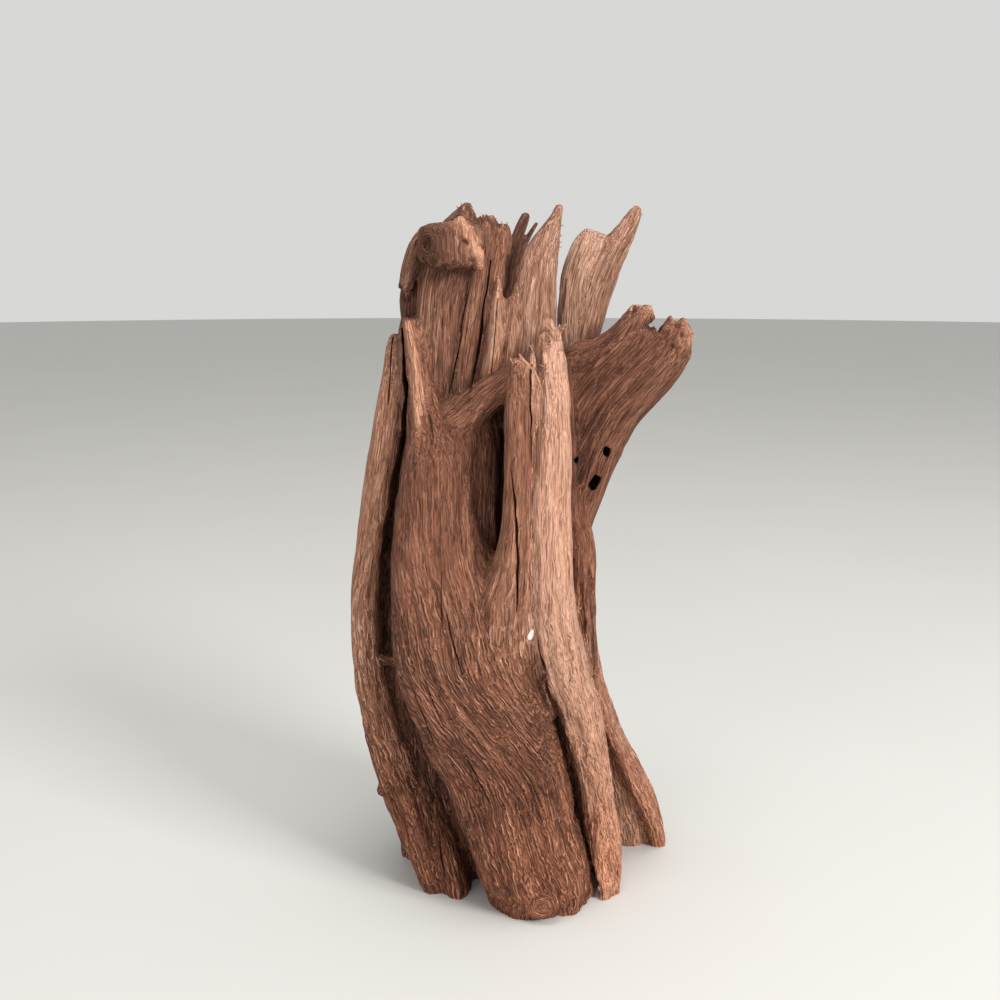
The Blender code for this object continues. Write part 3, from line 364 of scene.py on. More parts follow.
# The tall pointed splinter in the middle.
grow(
    "spire",
    (1.4, -2, 134, 5.6, 6.4), (2.2, -4, 147, 5.3, 6), (2.8, -4.8, 157, 5.5, 5.6), (3.2, -4.8, 166, 5.4, 5),
    (4.2, -4.4, 174.6, 4.9, 4.2), (6.2, -3.8, 180.6, 3.5, 3.4), (7.6, -3.4, 184.4, 2.2, 2.5),
    (8.7, -3, 187.4, 1.3, 1.6), (9.3, -2.8, 189.4, 0.8, 1),
    squareness=2.6, tint=(1.54, 0.08, 0.0),
)
# The leaning blade behind it on the right, whose back edge runs up into a finger.
grow(
    "blade",
    (11.4, 11, 96, 6, 6), (12.4, 12, 116, 6.2, 6.4), (13, 12.4, 134, 5.2, 5.4), (13.6, 12.6, 148, 4.4, 4.4),
    (14.2, 12.6, 160, 4.6, 3.8), (15.4, 12.6, 170, 5.4, 3.4), (17.4, 12.6, 176.6, 5.4, 3),
    (19, 12.6, 180.8, 4.4, 2.6), (19.8, 12.6, 183.2, 2.6, 1.9),
    squareness=3, tint=(1.64, 0.2, 0.0),
)
grow(
    "finger",
    (15.4, 12, 140, 4.2, 4.6), (17.4, 12, 154, 4, 4), (19.8, 12, 165, 4.2, 3.4), (22.8, 12, 174, 4, 3),
    (25.8, 12, 180, 3.6, 2.7), (28.4, 12, 184.6, 2.7, 2.3), (30.1, 12, 188, 1.9, 1.8),
    (30.8, 12, 189.7, 1, 1.1),
    squareness=2.4, tint=(1.5, 0.12, 0.0),
)
grow(
    "twin_tall",
    (-8, 9.6, 150, 3, 3), (-6.8, 9.6, 162, 2.6, 2.8), (-4.6, 9.4, 172, 2.2, 2.4), (-2.5, 9.2, 178.8, 1.7, 2),
    (-0.3, 9, 184.4, 1.5, 1.7), (1.2, 9, 187.8, 1.1, 1.3),
)
grow(
    "twin_short",
    (-6, 12.5, 148, 3, 3), (-4.2, 12, 160, 2.4, 2.4), (-2.6, 11.6, 170, 1.9, 1.9),
    (-0.6, 11.2, 177, 1.2, 1.3), (1.8, 11, 181.8, 0.8, 0.9), (4.1, 11, 185.8, 0.55, 0.6),
)
# The round knot low on the shin.
grow(
    "foot_knot",
    (4.6, -12, 6, 5, 4.6), (5, -20, 5.6, 5.2, 4.6), (5.2, -23.4, 5.4, 4.8, 4.2), (5.2, -24.6, 5.4, 3.8, 3.2),
    tint=(1.12, 0.0, 0.1), run="ringed",
)
# The hidden back: three boards round the hollow and a low root.
grow(
    "back_left",
    (-26, 18, -2, 9, 9), (-28, 18, 16, 9, 9), (-30, 17, 40, 9, 9), (-31, 16.5, 70, 9, 9),
    (-30, 16, 100, 8, 7.6), (-28, 15.5, 125, 6.6, 6), (-26, 15, 146, 5, 4.6), (-24.6, 14.5, 160, 3.4, 3.2),
    squareness=2.6, ridge=1.7, tips=4,
)
grow(
    "back_middle",
    (-6, 25, -2, 11, 7), (-8, 25, 14, 11.5, 8), (-10, 24, 40, 11, 8.4), (-11, 23, 72, 10.5, 8.4),
    (-10, 22, 104, 9.6, 7), (-9, 20.5, 130, 8, 5), (-9, 19, 148, 6, 3.8), (-10, 18, 159, 4, 3),
    squareness=2.8, ridge=1.7, tips=4, tint=(1.05, 0.15, 0.0),
)
grow(
    "back_right",
    (14, 27, -2, 11, 7), (13, 25, 14, 11, 8.4), (11, 22.5, 36, 10.5, 9), (9, 20.5, 62, 10, 9),
    (9, 18.5, 90, 9.4, 8.4), (11, 15.5, 112, 8.6, 7.4), (12.6, 13.5, 126, 7, 6.2), (13.2, 13, 140, 5, 5),
    (13.4, 13, 150, 3, 3.4),
    squareness=2.5, ridge=1.7, tint=(1.3, 0.1, 0.0),
)
grow(
    "back_stub",
    (-24, 20, 84, 6, 6), (-27, 25, 92, 4.6, 4.8), (-29, 29, 98, 3.8, 4), (-30, 31, 101, 3, 3.2),
    ridge=1.6, tips=3,
)

# Clefts and cracks, as blades that are cut away: the same stations, with a blade's half width and depth.
CUTS = {
    "shin_column_cleft": (
        (4, -28, 77, 0.4, 8), (6.4, -25, 65, 0.8, 10), (9.4, -22, 56, 1.1, 11), (12, -20, 45, 1.3, 12),
        (14, -18, 34, 1.2, 13), (15.6, -16, 24, 0.9, 13), (18, -14, 15, 0.8, 13), (20.4, -11, 6, 0.8, 13),
        (21.4, -10, -4, 0.8, 13),
    ),
    "shin_column_seam": (
        (2.9, -27.6, 97, 0.2, 2), (2.9, -28, 90, 0.26, 3), (3.3, -29, 84, 0.34, 5), (4, -28.6, 77, 0.45, 7),
        (5.6, -26.4, 69, 0.55, 8),
    ),
    "spine_crack": (
        (1.8, -24.6, 151, 0.6, 6), (1.7, -25.6, 145, 0.55, 5.4), (1.7, -26.4, 137, 0.45, 5),
        (1.9, -27, 125, 0.32, 4), (2, -27, 112, 0.24, 3), (2.2, -27, 104, 0.2, 2.4),
    ),
    "spine_split": (
        (-4.8, -27, 143, 0.2, 2.2), (-3.7, -28.4, 130, 0.26, 2.8), (-2.4, -29, 117, 0.36, 3.4),
        (-1.7, -29, 105, 0.42, 3.6), (-1.5, -28.4, 96, 0.38, 3.4), (-1.8, -27.4, 88, 0.2, 2.4),
    ),
    "crown_crack_left": (
        (-13.4, -11, 172.6, 0.2, 3), (-14, -12, 168, 0.3, 4), (-15.5, -12.6, 160.7, 0.36, 5),
        (-17, -12.6, 150.7, 0.32, 4.4), (-19.2, -12.6, 142, 0.2, 3.4),
    ),
    "crown_crack_middle": (
        (-8.2, -8, 176, 0.3, 4), (-9.8, -10, 165.6, 0.42, 5), (-11.3, -10.6, 155.6, 0.5, 6),
        (-12.8, -11, 146.9, 0.42, 5), (-13.6, -11.6, 141.6, 0.3, 4),
    ),
    "crown_crack_right": (
        (-6.5, -9, 166, 0.1, 2), (-7.1, -10, 159.4, 0.12, 2), (-7.6, -10.6, 153, 0.12, 2),
        (-8.2, -11, 147, 0.1, 2),
    ),
    "crown_gap": (
        (-3.6, -4, 177, 0.8, 9), (-3.6, -5, 171, 1, 11), (-3.4, -6, 166.4, 0.7, 8),
    ),
    "crown_pit": (
        (-4.2, -14, 158, 0.7, 5), (-4.6, -15, 153, 1, 6.6), (-5, -15.6, 149.6, 0.7, 5),
    ),
    "slab_crack": (
        (-33.8, -8, 157, 0.3, 5), (-34.2, -9.6, 149, 0.25, 3), (-34.8, -10.4, 139, 0.2, 2.4),
    ),
    "slab_seam": (
        (-31, -9, 158.6, 0.28, 5), (-30.6, -9, 150, 0.4, 7), (-30.3, -9, 141, 0.5, 8.6),
        (-30.8, -8.4, 134, 0.55, 9),
    ),
    "slab_cleft": (
        (-30.6, -8.6, 138, 0.5, 9), (-31, -8, 132, 0.65, 10), (-32.6, -8, 123, 0.8, 11),
        (-34.5, -7, 113, 0.85, 11), (-36.3, -7, 103, 0.85, 11), (-37.7, -7, 92, 0.75, 10),
    ),
    "toe_crack": (
        (-23.2, -10.4, 20, 0.2, 2.2), (-22.4, -10.6, 13, 0.28, 2.6), (-21.4, -10.6, 6, 0.2, 2.2),
    ),
    "branch_notch": (
        (35.4, -1, 157, 0.7, 9), (36.1, -1, 160.4, 1.3, 9), (36.6, -1, 166, 2.6, 9),
    ),
    "back_cleft_left": (
        (-20, 30, -4, 1.6, 12), (-21, 29, 20, 1.6, 11), (-21.4, 28, 50, 1.4, 10), (-21, 27, 84, 1.3, 10),
        (-19.6, 25, 116, 1.2, 9), (-18, 22, 150, 1.6, 12),
    ),
    "back_cleft_right": (
        (4, 33, -4, 1.5, 11), (2.4, 32, 24, 1.4, 11), (0.6, 30, 56, 1.1, 9), (0, 28, 84, 1, 8),
        (1.6, 26, 112, 1.2, 9), (2.6, 22, 146, 2.4, 14),
    ),
}

# Worm holes: (mouth, direction inwards, half width, half height, depth).
# The first three make one slanted hole.
HOLES = (
    ((18, -8, 117.2), (0.15, 1, -0.1), 1.2, 1.5, 14),
    ((18.5, -8, 118), (0.15, 1, -0.1), 1.2, 1.5, 14),
    ((19, -8, 118.8), (0.15, 1, -0.1), 1.1, 1.4, 14),
    ((21.8, -8, 126), (0.1, 1, 0), 0.9, 1.5, 12),
    ((14.2, -9, 123.6), (0, 1, 0), 0.8, 1.1, 10),
    ((-8, 34, 96), (0.1, -1, -0.1), 2.2, 3.6, 16),
    ((-24.3, -15.7, 179.4), (0.77, 0.64, 0), 1.5, 2, 1.4),
)

# Hairline cracks of the front, as (x, z, half width, half depth): they are set into the surface behind.
HAIRLINES = (
    ((-20.8, 98, 0.12, 0.7), (-20.9, 91, 0.16, 0.9), (-20.6, 84, 0.12, 0.6)),
    ((-19.4, 87.7, 0.12, 0.6), (-17.9, 80.4, 0.2, 1), (-15.5, 72.6, 0.12, 0.6)),
    ((-25.3, 70.2, 0.12, 0.5), (-22.8, 63.4, 0.18, 0.8), (-20.4, 57.6, 0.12, 0.5)),
    ((-14.4, 49.6, 0.12, 0.5), (-11.8, 44.4, 0.16, 0.8), (-8.8, 37.8, 0.12, 0.5)),
    ((-28.6, 67.6, 0.12, 0.5), (-25.8, 60.4, 0.18, 0.8), (-22.6, 51.6, 0.12, 0.5)),
)

# Where the wood has broken off roughly: (x, y, z, how far the roughness reaches).
BROKEN_ENDS = (
    (-13.4, -10.6, 179.6, 7), (-20, -13, 173.6, 6), (6, -16, 157, 7), (-1.6, -19, 152, 4), (41, -2, 156, 9),
    (30.6, -1, 163, 6), (-8, -1, 185.6, 6), (-30, -4, 168, 5), (24.6, -8, 6, 9), (4, -16, 0, 8),
)

# Tufts of torn fibres: (one end of their row, the other end, the way they point, length, how many).
TUFTS = (
    ((2.4, -18.8, 153), (8.8, -14.8, 158.6), (0.1, -0.6, 0.7), 2.4, 26),
    ((1, -21, 140), (5, -22, 150), (0.2, -0.9, 0.3), 1.8, 14),
    ((-3.2, -21, 150.6), (1, -20.6, 151.2), (0, -0.2, 1), 1.8, 9),
    ((-16.6, -10.6, 184.6), (-11.6, -9, 175.6), (0.4, -0.9, 0.2), 1.6, 16),
    ((9.4, -4, 187), (9.6, -6.6, 176), (1, -0.3, 0.3), 0.9, 7),
    ((43.6, -3, 158), (44.4, -3, 151.6), (1, -0.2, 0.2), 1, 9),
    ((27.6, -2, 163.6), (33.6, -2, 163), (0.1, -0.1, 1), 0.8, 7),
    ((29.4, 11, 189.6), (31.6, 11, 187), (0.7, -0.3, 0.7), 0.8, 6),
    ((-16, -4, 188), (-4, -2, 185.4), (0, -0.2, 1), 0.9, 12),
)
CURVED_FIBRE = (
    (-1.2, -23, 152.8, 0.3, 0.3), (-0.6, -24.8, 152, 0.3, 0.3), (1.2, -25.8, 150.2, 0.3, 0.3),
    (2.9, -25.8, 147.8, 0.27, 0.27), (3.9, -25, 145, 0.24, 0.24), (4.5, -23.2, 142.2, 0.2, 0.2),
)
CHIP = (2.0, 81.4, 0.8, 1.7, 0.35)  # x, z, half width, half height and thickness of the pale chip
CHIP_TILT = math.radians(-18)


def spaced(stations, step):
    """The stations joined by a smooth curve and read again every step, as rows of the same numbers."""
    rows = [Vector(s) for s in stations]
    rows = [2 * rows[0] - rows[1], *rows, 2 * rows[-1] - rows[-2]]
    made = []
    for before, start, end, after in zip(rows, rows[1:], rows[2:], rows[3:]):
        pieces = max(1, round((Vector(end[:3]) - Vector(start[:3])).length / step))
        for i in range(pieces):
            t = i / pieces
            bend = (2 * before - 5 * start + 4 * end - after) * t * t
            twist = (3 * start - before - 3 * end + after) * t**3
            made.append(0.5 * (2 * start + (end - before) * t + bend + twist))
    made.append(rows[-2])
    return made


class Strand:
    """One strand of wood: its rows along the middle, and the directions of its grain at each of them."""

    def __init__(
        self, stations, squareness=2.0, ridge=1.0, seed=0.0, tint=PLAIN_TINT, run="along", step=STEP
    ):
        self.squareness, self.ridge, self.seed = squareness, ridge, seed
        self.tint, self.grain_run, self.step = tint, run, step
        rows = spaced(stations, step)
        self.centres = [Vector(row[:3]) for row in rows]
        self.sizes = [(max(row[3], 0.12), max(row[4], 0.12)) for row in rows]
        self.along, self.across, self.inward, self.run = [], [], [], []
        for i, centre in enumerate(self.centres):
            before = self.centres[max(i - 1, 0)]
            ahead = self.centres[min(i + 1, len(rows) - 1)]
            along = (ahead - before).normalized()
            across = (Vector((1, 0, 0)) - along * along.x).normalized()
            self.along.append(along)
            self.across.append(across)
            self.inward.append(along.cross(across))
            self.run.append(self.run[-1] + (centre - before).length if i else 0.0)

    def shape(self, fewest_sides=8):
        """The strand as a closed bmesh: a grid that is rolled round the rows, with ridges along the grain."""
        widest = max(max(size) for size in self.sizes)
        sides = min(160, max(fewest_sides, round(math.tau * widest / self.step)))
        last = len(self.centres) - 1
        shape = bmesh.new()
        flat = Matrix.Translation((sides / 2, last / 2, 0)) @ Matrix.Diagonal((sides, last, 1, 1))
        bmesh.ops.create_grid(shape, x_segments=sides, y_segments=last, size=0.5, matrix=flat)
        for vert in shape.verts:
            turn = math.tau * (round(vert.co.x) % sides) / sides
            row = round(vert.co.y)
            c, s = math.cos(turn), math.sin(turn)
            out = (abs(c) ** self.squareness + abs(s) ** self.squareness) ** (-1 / self.squareness)
            centre = self.centres[row]
            half_width, half_depth = self.sizes[row]
            if self.ridge:
                spot = Vector((c * 2.2 + self.seed, s * 2.2, centre.z / 50))
                depth = min(FURROW / min(half_width, half_depth), 0.1)
                furrow = max(0, 1 - 5 * abs(noise.noise(spot * 1.7))) * depth
                out *= 1 + self.ridge * (RIDGE * noise.noise(spot) - furrow)
            sideways = self.across[row] * (c * out * half_width)
            vert.co = centre + sideways + self.inward[row] * (s * out * half_depth)
        bmesh.ops.remove_doubles(shape, verts=shape.verts, dist=1e-5)
        ends = [edge for edge in shape.edges if edge.is_boundary]
        bmesh.ops.holes_fill(shape, edges=ends, sides=0)
        bmesh.ops.recalc_face_normals(shape, faces=shape.faces)
        return shape

    def grain_at(self, points):
        """The place of each point in the strand's straightened grain: across it, into it and along it."""
        tree = KDTree(len(self.centres))
        for i, centre in enumerate(self.centres):
            tree.insert(centre, i)
        tree.balance()
        rows = np.array([tree.find(p)[1] for p in points.tolist()])
        off = points - np.array(self.centres)[rows]
        a = (off * np.array(self.across)[rows]).sum(1)
        b = (off * np.array(self.inward)[rows]).sum(1)
        run = np.array(self.run)[rows] + (off * np.array(self.along)[rows]).sum(1)
        if self.grain_run == "ringed":
            return np.stack([2 * np.hypot(a, b) + 9 * self.seed, run, 2 * np.arctan2(b, a)], 1)
        if self.grain_run == "upright":
            return points + (9 * self.seed, 0, 0)
        if self.grain_run == "leaning":
            share = np.clip((points[:, 2] - 36) / 42, 0, 1)
            a = a + 13 * share * share * (3 - 2 * share)
        return np.stack([a + 9 * self.seed, b, run], 1)


def torn_tips(stations, count, draw):
    """Stations of the short slivers that a torn end leaves standing over the strand's last section."""
    x, y, z, half_width, half_depth = stations[-1]
    way = (Vector(stations[-1][:3]) - Vector(stations[-2][:3])).normalized()
    across = (Vector((1, 0, 0)) - way * way.x).normalized()
    inward = way.cross(across)
    slivers = []
    for i in range(count):
        share = (i + 0.5) / count * 2 - 1
        root = Vector((x, y, z)) + across * (share * 0.8 * half_width)
        root += inward * (draw.uniform(-0.5, 0.5) * half_depth)
        width = max(0.55, 0.9 * half_width / count)
        depth = max(0.7, 0.35 * half_depth)
        reach = draw.uniform(0.9, 2.6)
        foot, neck, tip = root - way * 3, root + way * reach, root + way * (reach + 1.2)
        thin = (0.6 * width, 0.6 * depth)
        slivers.append(((*foot, width, depth), (*root, width, depth), (*neck, *thin), (*tip, 0.35, 0.35)))
    return slivers


def drawn_strands():
    """Every strand and torn sliver of the sculpture."""
    draw = random.Random(7)
    strands = []
    for number, (stations, tips, style) in enumerate(STRANDS.values()):
        seed = number * 3.7
        strands.append(Strand(stations, seed=seed, **style))
        for sliver in torn_tips(stations, tips, draw):
            strands.append(Strand(sliver, ridge=0, seed=seed, tint=style.get("tint", PLAIN_TINT)))
    return strands


class Grain:
    """The strands lying side by side, to find which one any point belongs to and its place in that grain."""

    def __init__(self, strands):
        self.strands = strands
        self.joined = bpy.data.meshes.new("strands")
        together, self.first_faces = bmesh.new(), []
        for strand in strands:
            self.first_faces.append(len(together.faces))
            shape = strand.shape()
            shape.to_mesh(self.joined)
            shape.free()
            together.from_mesh(self.joined)
        together.to_mesh(self.joined)
        self.tree = BVHTree.FromBMesh(together)
        together.free()

    def strand_at(self, points):
        """The number of the strand nearest to each point."""
        faces = [self.tree.find_nearest(p)[2] for p in points.tolist()]
        return np.searchsorted(self.first_faces, faces, side="right") - 1

    def read(self, points, numbers):
        """The place of each point in the grain of the strand with that number."""
        grain = np.zeros((len(points), 3))
        for number in np.unique(numbers):
            chosen = numbers == number
            grain[chosen] = self.strands[number].grain_at(points[chosen])
        return grain

    def tints(self, numbers):
        return np.array([strand.tint for strand in self.strands])[numbers]


def new_object(name, mesh):
    obj = bpy.data.objects.new(name, mesh)
    bpy.context.scene.collection.objects.link(obj)
    return obj


def object_from(name, shape):
    """An object made from a bmesh, which is freed."""
    mesh = bpy.data.meshes.new(name)
    shape.to_mesh(mesh)
    shape.free()
    return new_object(name, mesh)


def apply_modifiers(obj):
    """Replaces an object's mesh by what its modifiers make of it."""
    bpy.context.view_layer.update()
    evaluated = obj.evaluated_get(bpy.context.evaluated_depsgraph_get())
    mesh = bpy.data.meshes.new_from_object(evaluated)
    obj.modifiers.clear()
    obj.data = mesh


def rows_of(items, part):
    """The same part of every item, three numbers each, as rows."""
    values = np.empty(len(items) * 3, np.float32)
    items.foreach_get(part, values)
    return values.reshape(-1, 3).astype(float)


def points_of(obj):
    return rows_of(obj.data.vertices, "co")


def normals_of(obj):
    """The direction that the surface faces at each of the mesh's points."""
    return rows_of(obj.data.vertex_normals, "vector")


CROWN_FOOT = 146  # height at which the torn splinters start
WORN_FADE = 12  # height over which the wear fades out below them
WORN_ROUNDS = 7


def wear_smooth(obj):
    """Softens the seams between the strands below the crown, and leaves the splinters sharp."""
    worn = obj.vertex_groups.new(name="worn")
    heights = points_of(obj)[:, 2]
    share = np.clip((CROWN_FOOT - heights) / WORN_FADE, 0, 1)
    for level in range(1, 11):
        chosen = np.nonzero(np.round(share * 10) == level)[0]
        worn.add(chosen.tolist(), level / 10, "REPLACE")
    soften = obj.modifiers.new("worn smooth", "SMOOTH")
    soften.factor = 0.5
    soften.iterations = WORN_ROUNDS
    soften.vertex_group = "worn"
    apply_modifiers(obj)
    obj.vertex_groups.clear()


def hairline_stations(wood):
    """Stations of the hairline cracks, each set where its line meets the front of the wood."""
    tree = BVHTree.FromObject(wood, bpy.context.evaluated_depsgraph_get())
    lines = {}
    for number, line in enumerate(HAIRLINES):
        stations = []
        for x, z, half_width, half_depth in line:
            place = tree.ray_cast(Vector((x, -80, z)), Vector((0, 1, 0)))[0]
            stations.append((x, place.y, z, half_width, half_depth))
        lines[f"hairline {number}"] = stations
    return lines


CUT_STEP = 3.0  # from one ragged station of a cut to the next
LARGEST_SLIP = 0.35  # how far a ragged edge wanders to the side


def cut_clefts(wood, widest=10.0):
    """Cuts the clefts and cracks up to a half width, with ragged edges, and the worm holes."""
    cutters = []
    for name, stations in {**CUTS, **hairline_stations(wood)}.items():
        if max(station[3] for station in stations) > widest:
            continue
        ragged = []
        draw = random.Random(name)
        for x, y, z, half_width, half_depth in spaced(stations, CUT_STEP):
            slip = min(LARGEST_SLIP, 0.5 * half_width)
            half_width *= draw.uniform(0.75, 1.3)
            half_depth *= draw.uniform(0.9, 1.1)
            ragged.append((x + draw.uniform(-slip, slip), y, z, half_width, half_depth))
        blade = Strand(ragged, squareness=1.6, ridge=0, step=1.2)
        cutters.append(object_from(name, blade.shape()))
    for number, (mouth, inwards, half_width, half_height, depth) in enumerate(HOLES):
        if half_width > widest:
            continue
        shape = bmesh.new()
        bmesh.ops.create_cone(shape, cap_ends=True, segments=24, radius1=1, radius2=0.8, depth=depth)
        along = Vector(inwards).normalized()
        turned = along.to_track_quat("Z", "Y").to_matrix().to_4x4()
        size = Matrix.Diagonal((half_width, half_height, 1, 1))
        place = Matrix.Translation(Vector(mouth) + along * depth * 0.3)
        bmesh.ops.transform(shape, matrix=place @ turned @ size, verts=shape.verts)
        cutters.append(object_from(f"worm hole {number}", shape))
    for cutter in cutters:
        cut = wood.modifiers.new(cutter.name, "BOOLEAN")
        cut.operation = "DIFFERENCE"
        cut.object = cutter
        cut.solver = "MANIFOLD"
    apply_modifiers(wood)
    for cutter in cutters:
        bpy.data.objects.remove(cutter)


@contextmanager
def edited(obj):
    """The object's mesh as a bmesh, which is written back and freed afterwards."""
    shape = bmesh.new()
    shape.from_mesh(obj.data)
    yield shape
    shape.to_mesh(obj.data)
    shape.free()


def keep_largest(obj):
    """Drops loose scraps and sealed hollows: every shell but the one with the most faces."""
    with edited(obj) as shape:
        left, shells = set(shape.faces), []
        while left:
            seed = left.pop()
            shell, front = {seed}, [seed]
            while front:
                for near in {near for edge in front.pop().edges for near in edge.link_faces} & left:
                    left.discard(near)
                    shell.add(near)
                    front.append(near)
            shells.append(shell)
        shells.sort(key=len)
        for shell in shells[:-1]:
            bmesh.ops.delete(shape, geom=list(shell), context="FACES")


def flaps_of(shape):
    return [face for face in shape.faces if any(edge.is_boundary for edge in face.edges)]


def drop_flaps(obj):
    """Drops the few single faces that thinning leaves hanging on an edge of the closed surface."""
    with edited(obj) as shape:
        while flaps := flaps_of(shape):
            bmesh.ops.delete(shape, geom=flaps, context="FACES")


def saw_level(obj):
    """Cuts the feet off at ground height and closes the cut."""
    with edited(obj) as shape:
        geometry = [*shape.verts, *shape.edges, *shape.faces]
        cut = bmesh.ops.bisect_plane(
            shape, geom=geometry, plane_co=(0, 0, 0), plane_no=(0, 0, -1), clear_outer=True
        )
        rim = [edge for edge in cut["geom_cut"] if isinstance(edge, bmesh.types.BMEdge)]
        bmesh.ops.holes_fill(shape, edges=rim, sides=0)
        bmesh.ops.dissolve_degenerate(shape, edges=shape.edges, dist=SHORTEST_EDGE)
        bmesh.ops.triangulate(shape, faces=[face for face in shape.faces if len(face.verts) > 3])
        bmesh.ops.recalc_face_normals(shape, faces=shape.faces)


def noise_of(points, size):
    """Smooth noise from -1 to 1 at points that are first divided by size, one number or three."""
    return np.array([noise.noise(p) for p in (points / np.array(size)).tolist()])


def brokenness(points):
    """How near each point is to a broken end, from 0 away from them to 1 at the middle of one."""
    share = np.zeros(len(points))
    for *middle, reach in BROKEN_ENDS:
        off = np.linalg.norm(points - np.array(middle), axis=1) / reach
        share = np.maximum(share, np.clip(1.5 - 1.5 * off, 0, 1))
    return share


# Sizes of the relief's forms: across the grain, into it and along it where there are three.
SWELLS = 8
KNOBS = (4, 4, 7)
WIDE_FURROWS = (2.8, 2.8, 34)
WAVY_FURROWS = (1.3, 1.3, 10)
STRAIGHT_FURROWS = (1.3, 1.3, 45)
BROKEN_LUMPS = (1.5, 1.5, 2.4)


def relief_of(points, grain):
    """(height of the wood's relief in table units, how deep in a furrow from 0 to 1) at each point."""
    gnarled = np.clip((105 - points[:, 2]) / 60, 0, 1)
    wander = np.stack([noise_of(points, 9), noise_of(points + 50, 9), np.zeros(len(points))], 1)
    grain = grain + (0.4 + 0.9 * gnarled)[:, None] * wander
    swell = noise_of(points + 20, SWELLS)
    knobs = noise_of(points + 70, KNOBS)
    wide = noise_of(grain, WIDE_FURROWS)
    wavy = noise_of(grain + 30, WAVY_FURROWS)
    straight = noise_of(grain + 60, STRAIGHT_FURROWS)
    narrow = straight + gnarled * (wavy - straight)
    torn = np.clip(noise_of(points + 90, 15) + 0.3, 0, 1)
    deep = np.clip(1 - 7 * np.abs(wide), 0, 1) * (0.25 + 0.75 * torn)
    shallow = np.clip(1 - 3.5 * np.abs(narrow), 0, 1)
    height = 0.3 * swell + 0.3 * gnarled * knobs + 0.15 * wide - 0.5 * deep
    height += (0.6 + 0.4 * gnarled) * (0.18 * narrow - 0.24 * shallow)
    lumps = 0.75 * noise_of(points + 40, BROKEN_LUMPS) + 0.3 * noise_of(points, 0.9)
    height += brokenness(points) * lumps
    return height, np.clip(0.75 * deep + 0.45 * shallow, 0, 1)


def raise_grain(obj, grain_map):
    """Moves the surface in and out by the wood's relief."""
    points = points_of(obj)
    grain = grain_map.read(points, grain_map.strand_at(points))
    height = relief_of(points, grain)[0]
    points += normals_of(obj) * height[:, None]
    obj.data.vertices.foreach_set("co", points.astype(np.float32).ravel())
    obj.data.update()


def painted_cleft_shade_of(obj, reach=14.0, rays=12):
    """How hidden each point is by the wood round it, from 0 in the open to 1 deep in a cleft: how much painted
    shade darkens the colour there.
    """
    tree = BVHTree.FromObject(obj, bpy.context.evaluated_depsgraph_get())
    golden = math.pi * (3 - math.sqrt(5))
    points, normals = points_of(obj), normals_of(obj)
    helper = np.where(np.abs(normals[:, 2:3]) < 0.9, [[0.0, 0.0, 1.0]], [[1.0, 0.0, 0.0]])
    across = np.cross(helper, normals)
    across /= np.linalg.norm(across, axis=1, keepdims=True)
    inward = np.cross(normals, across)
    starts = (points + 0.12 * normals).tolist()
    hidden = np.zeros(len(points))
    for i in range(rays):
        up = 1 - (i + 0.5) / rays * 0.85
        side = math.sqrt(1 - up * up)
        c, s = side * math.cos(i * golden), side * math.sin(i * golden)
        ways = (across * c + inward * s + normals * up).tolist()
        hits = (tree.ray_cast(start, way, reach)[3] for start, way in zip(starts, ways))
        hidden += np.array([0.0 if hit is None else 1 - hit / reach for hit in hits])
    return hidden / rays


def spread(obj, values, rounds):
    """The values averaged with those of neighbouring points, again and again."""
    mesh = obj.data
    ends = np.empty(len(mesh.edges) * 2, np.int32)
    mesh.edges.foreach_get("vertices", ends)
    a, b = ends.reshape(-1, 2).T
    count = np.bincount(a, minlength=len(values)) + np.bincount(b, minlength=len(values)) + 1
    for _ in range(rounds):
        total = values.copy()
        for column in range(values.shape[1]):
            total[:, column] += np.bincount(a, values[b, column], len(values))
            total[:, column] += np.bincount(b, values[a, column], len(values))
        values = total / count[:, None]
    return values


def set_attribute(obj, name, kind, domain, values):
    attribute = obj.data.attributes.new(name, kind, domain)
    part = "vector" if kind == "FLOAT_VECTOR" else "value"
    attribute.data.foreach_set(part, values.astype(np.float32).ravel())


TINT_ROUNDS = 12  # how often neighbouring tints are averaged


def note_grain(obj, grain_map):
    """Writes on the mesh what its material reads: the grain's own coordinates, furrows and hiddenness that
    darken the colour as painted shade, and tint.
    """
    mesh = obj.data
    points = points_of(obj)
    numbers = grain_map.strand_at(points)
    grain = grain_map.read(points, numbers)
    height, furrow = relief_of(points, grain)
    # How deep each point lies in a furrow; the material darkens it as painted shade.
    set_attribute(obj, "furrow", "FLOAT", "POINT", furrow)
    # How hidden each point is; the material darkens it as painted shade in the clefts.
    set_attribute(obj, "painted_cleft_shade", "FLOAT", "POINT", painted_cleft_shade_of(obj))
    tints = spread(obj, grain_map.tints(numbers), TINT_ROUNDS)
    # Low down the wood is redder and the slab loses its paleness; the middle of the shin is darkened as painted
    # shade.
    low = np.clip((75 - points[:, 2]) / 60, 0, 1)
    left = np.clip((-10 - points[:, 0]) / 10, 0, 1)
    middle = np.exp(-(((points[:, 2] - 42) / 20) ** 2)) * np.clip((10 - points[:, 0]) / 6, 0, 1)
    tints[:, 0] -= 0.85 * low * left * np.maximum(tints[:, 0] - 0.9, 0) + 0.17 * middle
    tints[:, 2] += 0.28 * low
    tints[:, 0] += 0.9 * brokenness(points) * noise_of(points + 40, BROKEN_LUMPS)
    set_attribute(obj, "tint", "FLOAT_VECTOR", "POINT", tints)
    corners = np.empty(len(mesh.polygons) * 3, np.int32)
    mesh.polygons.foreach_get("vertices", corners)
    middles = points[corners.reshape(-1, 3)].mean(1)
    owners = np.repeat(grain_map.strand_at(middles), 3)
    set_attribute(obj, "grain", "FLOAT_VECTOR", "CORNER", grain_map.read(points[corners], owners))


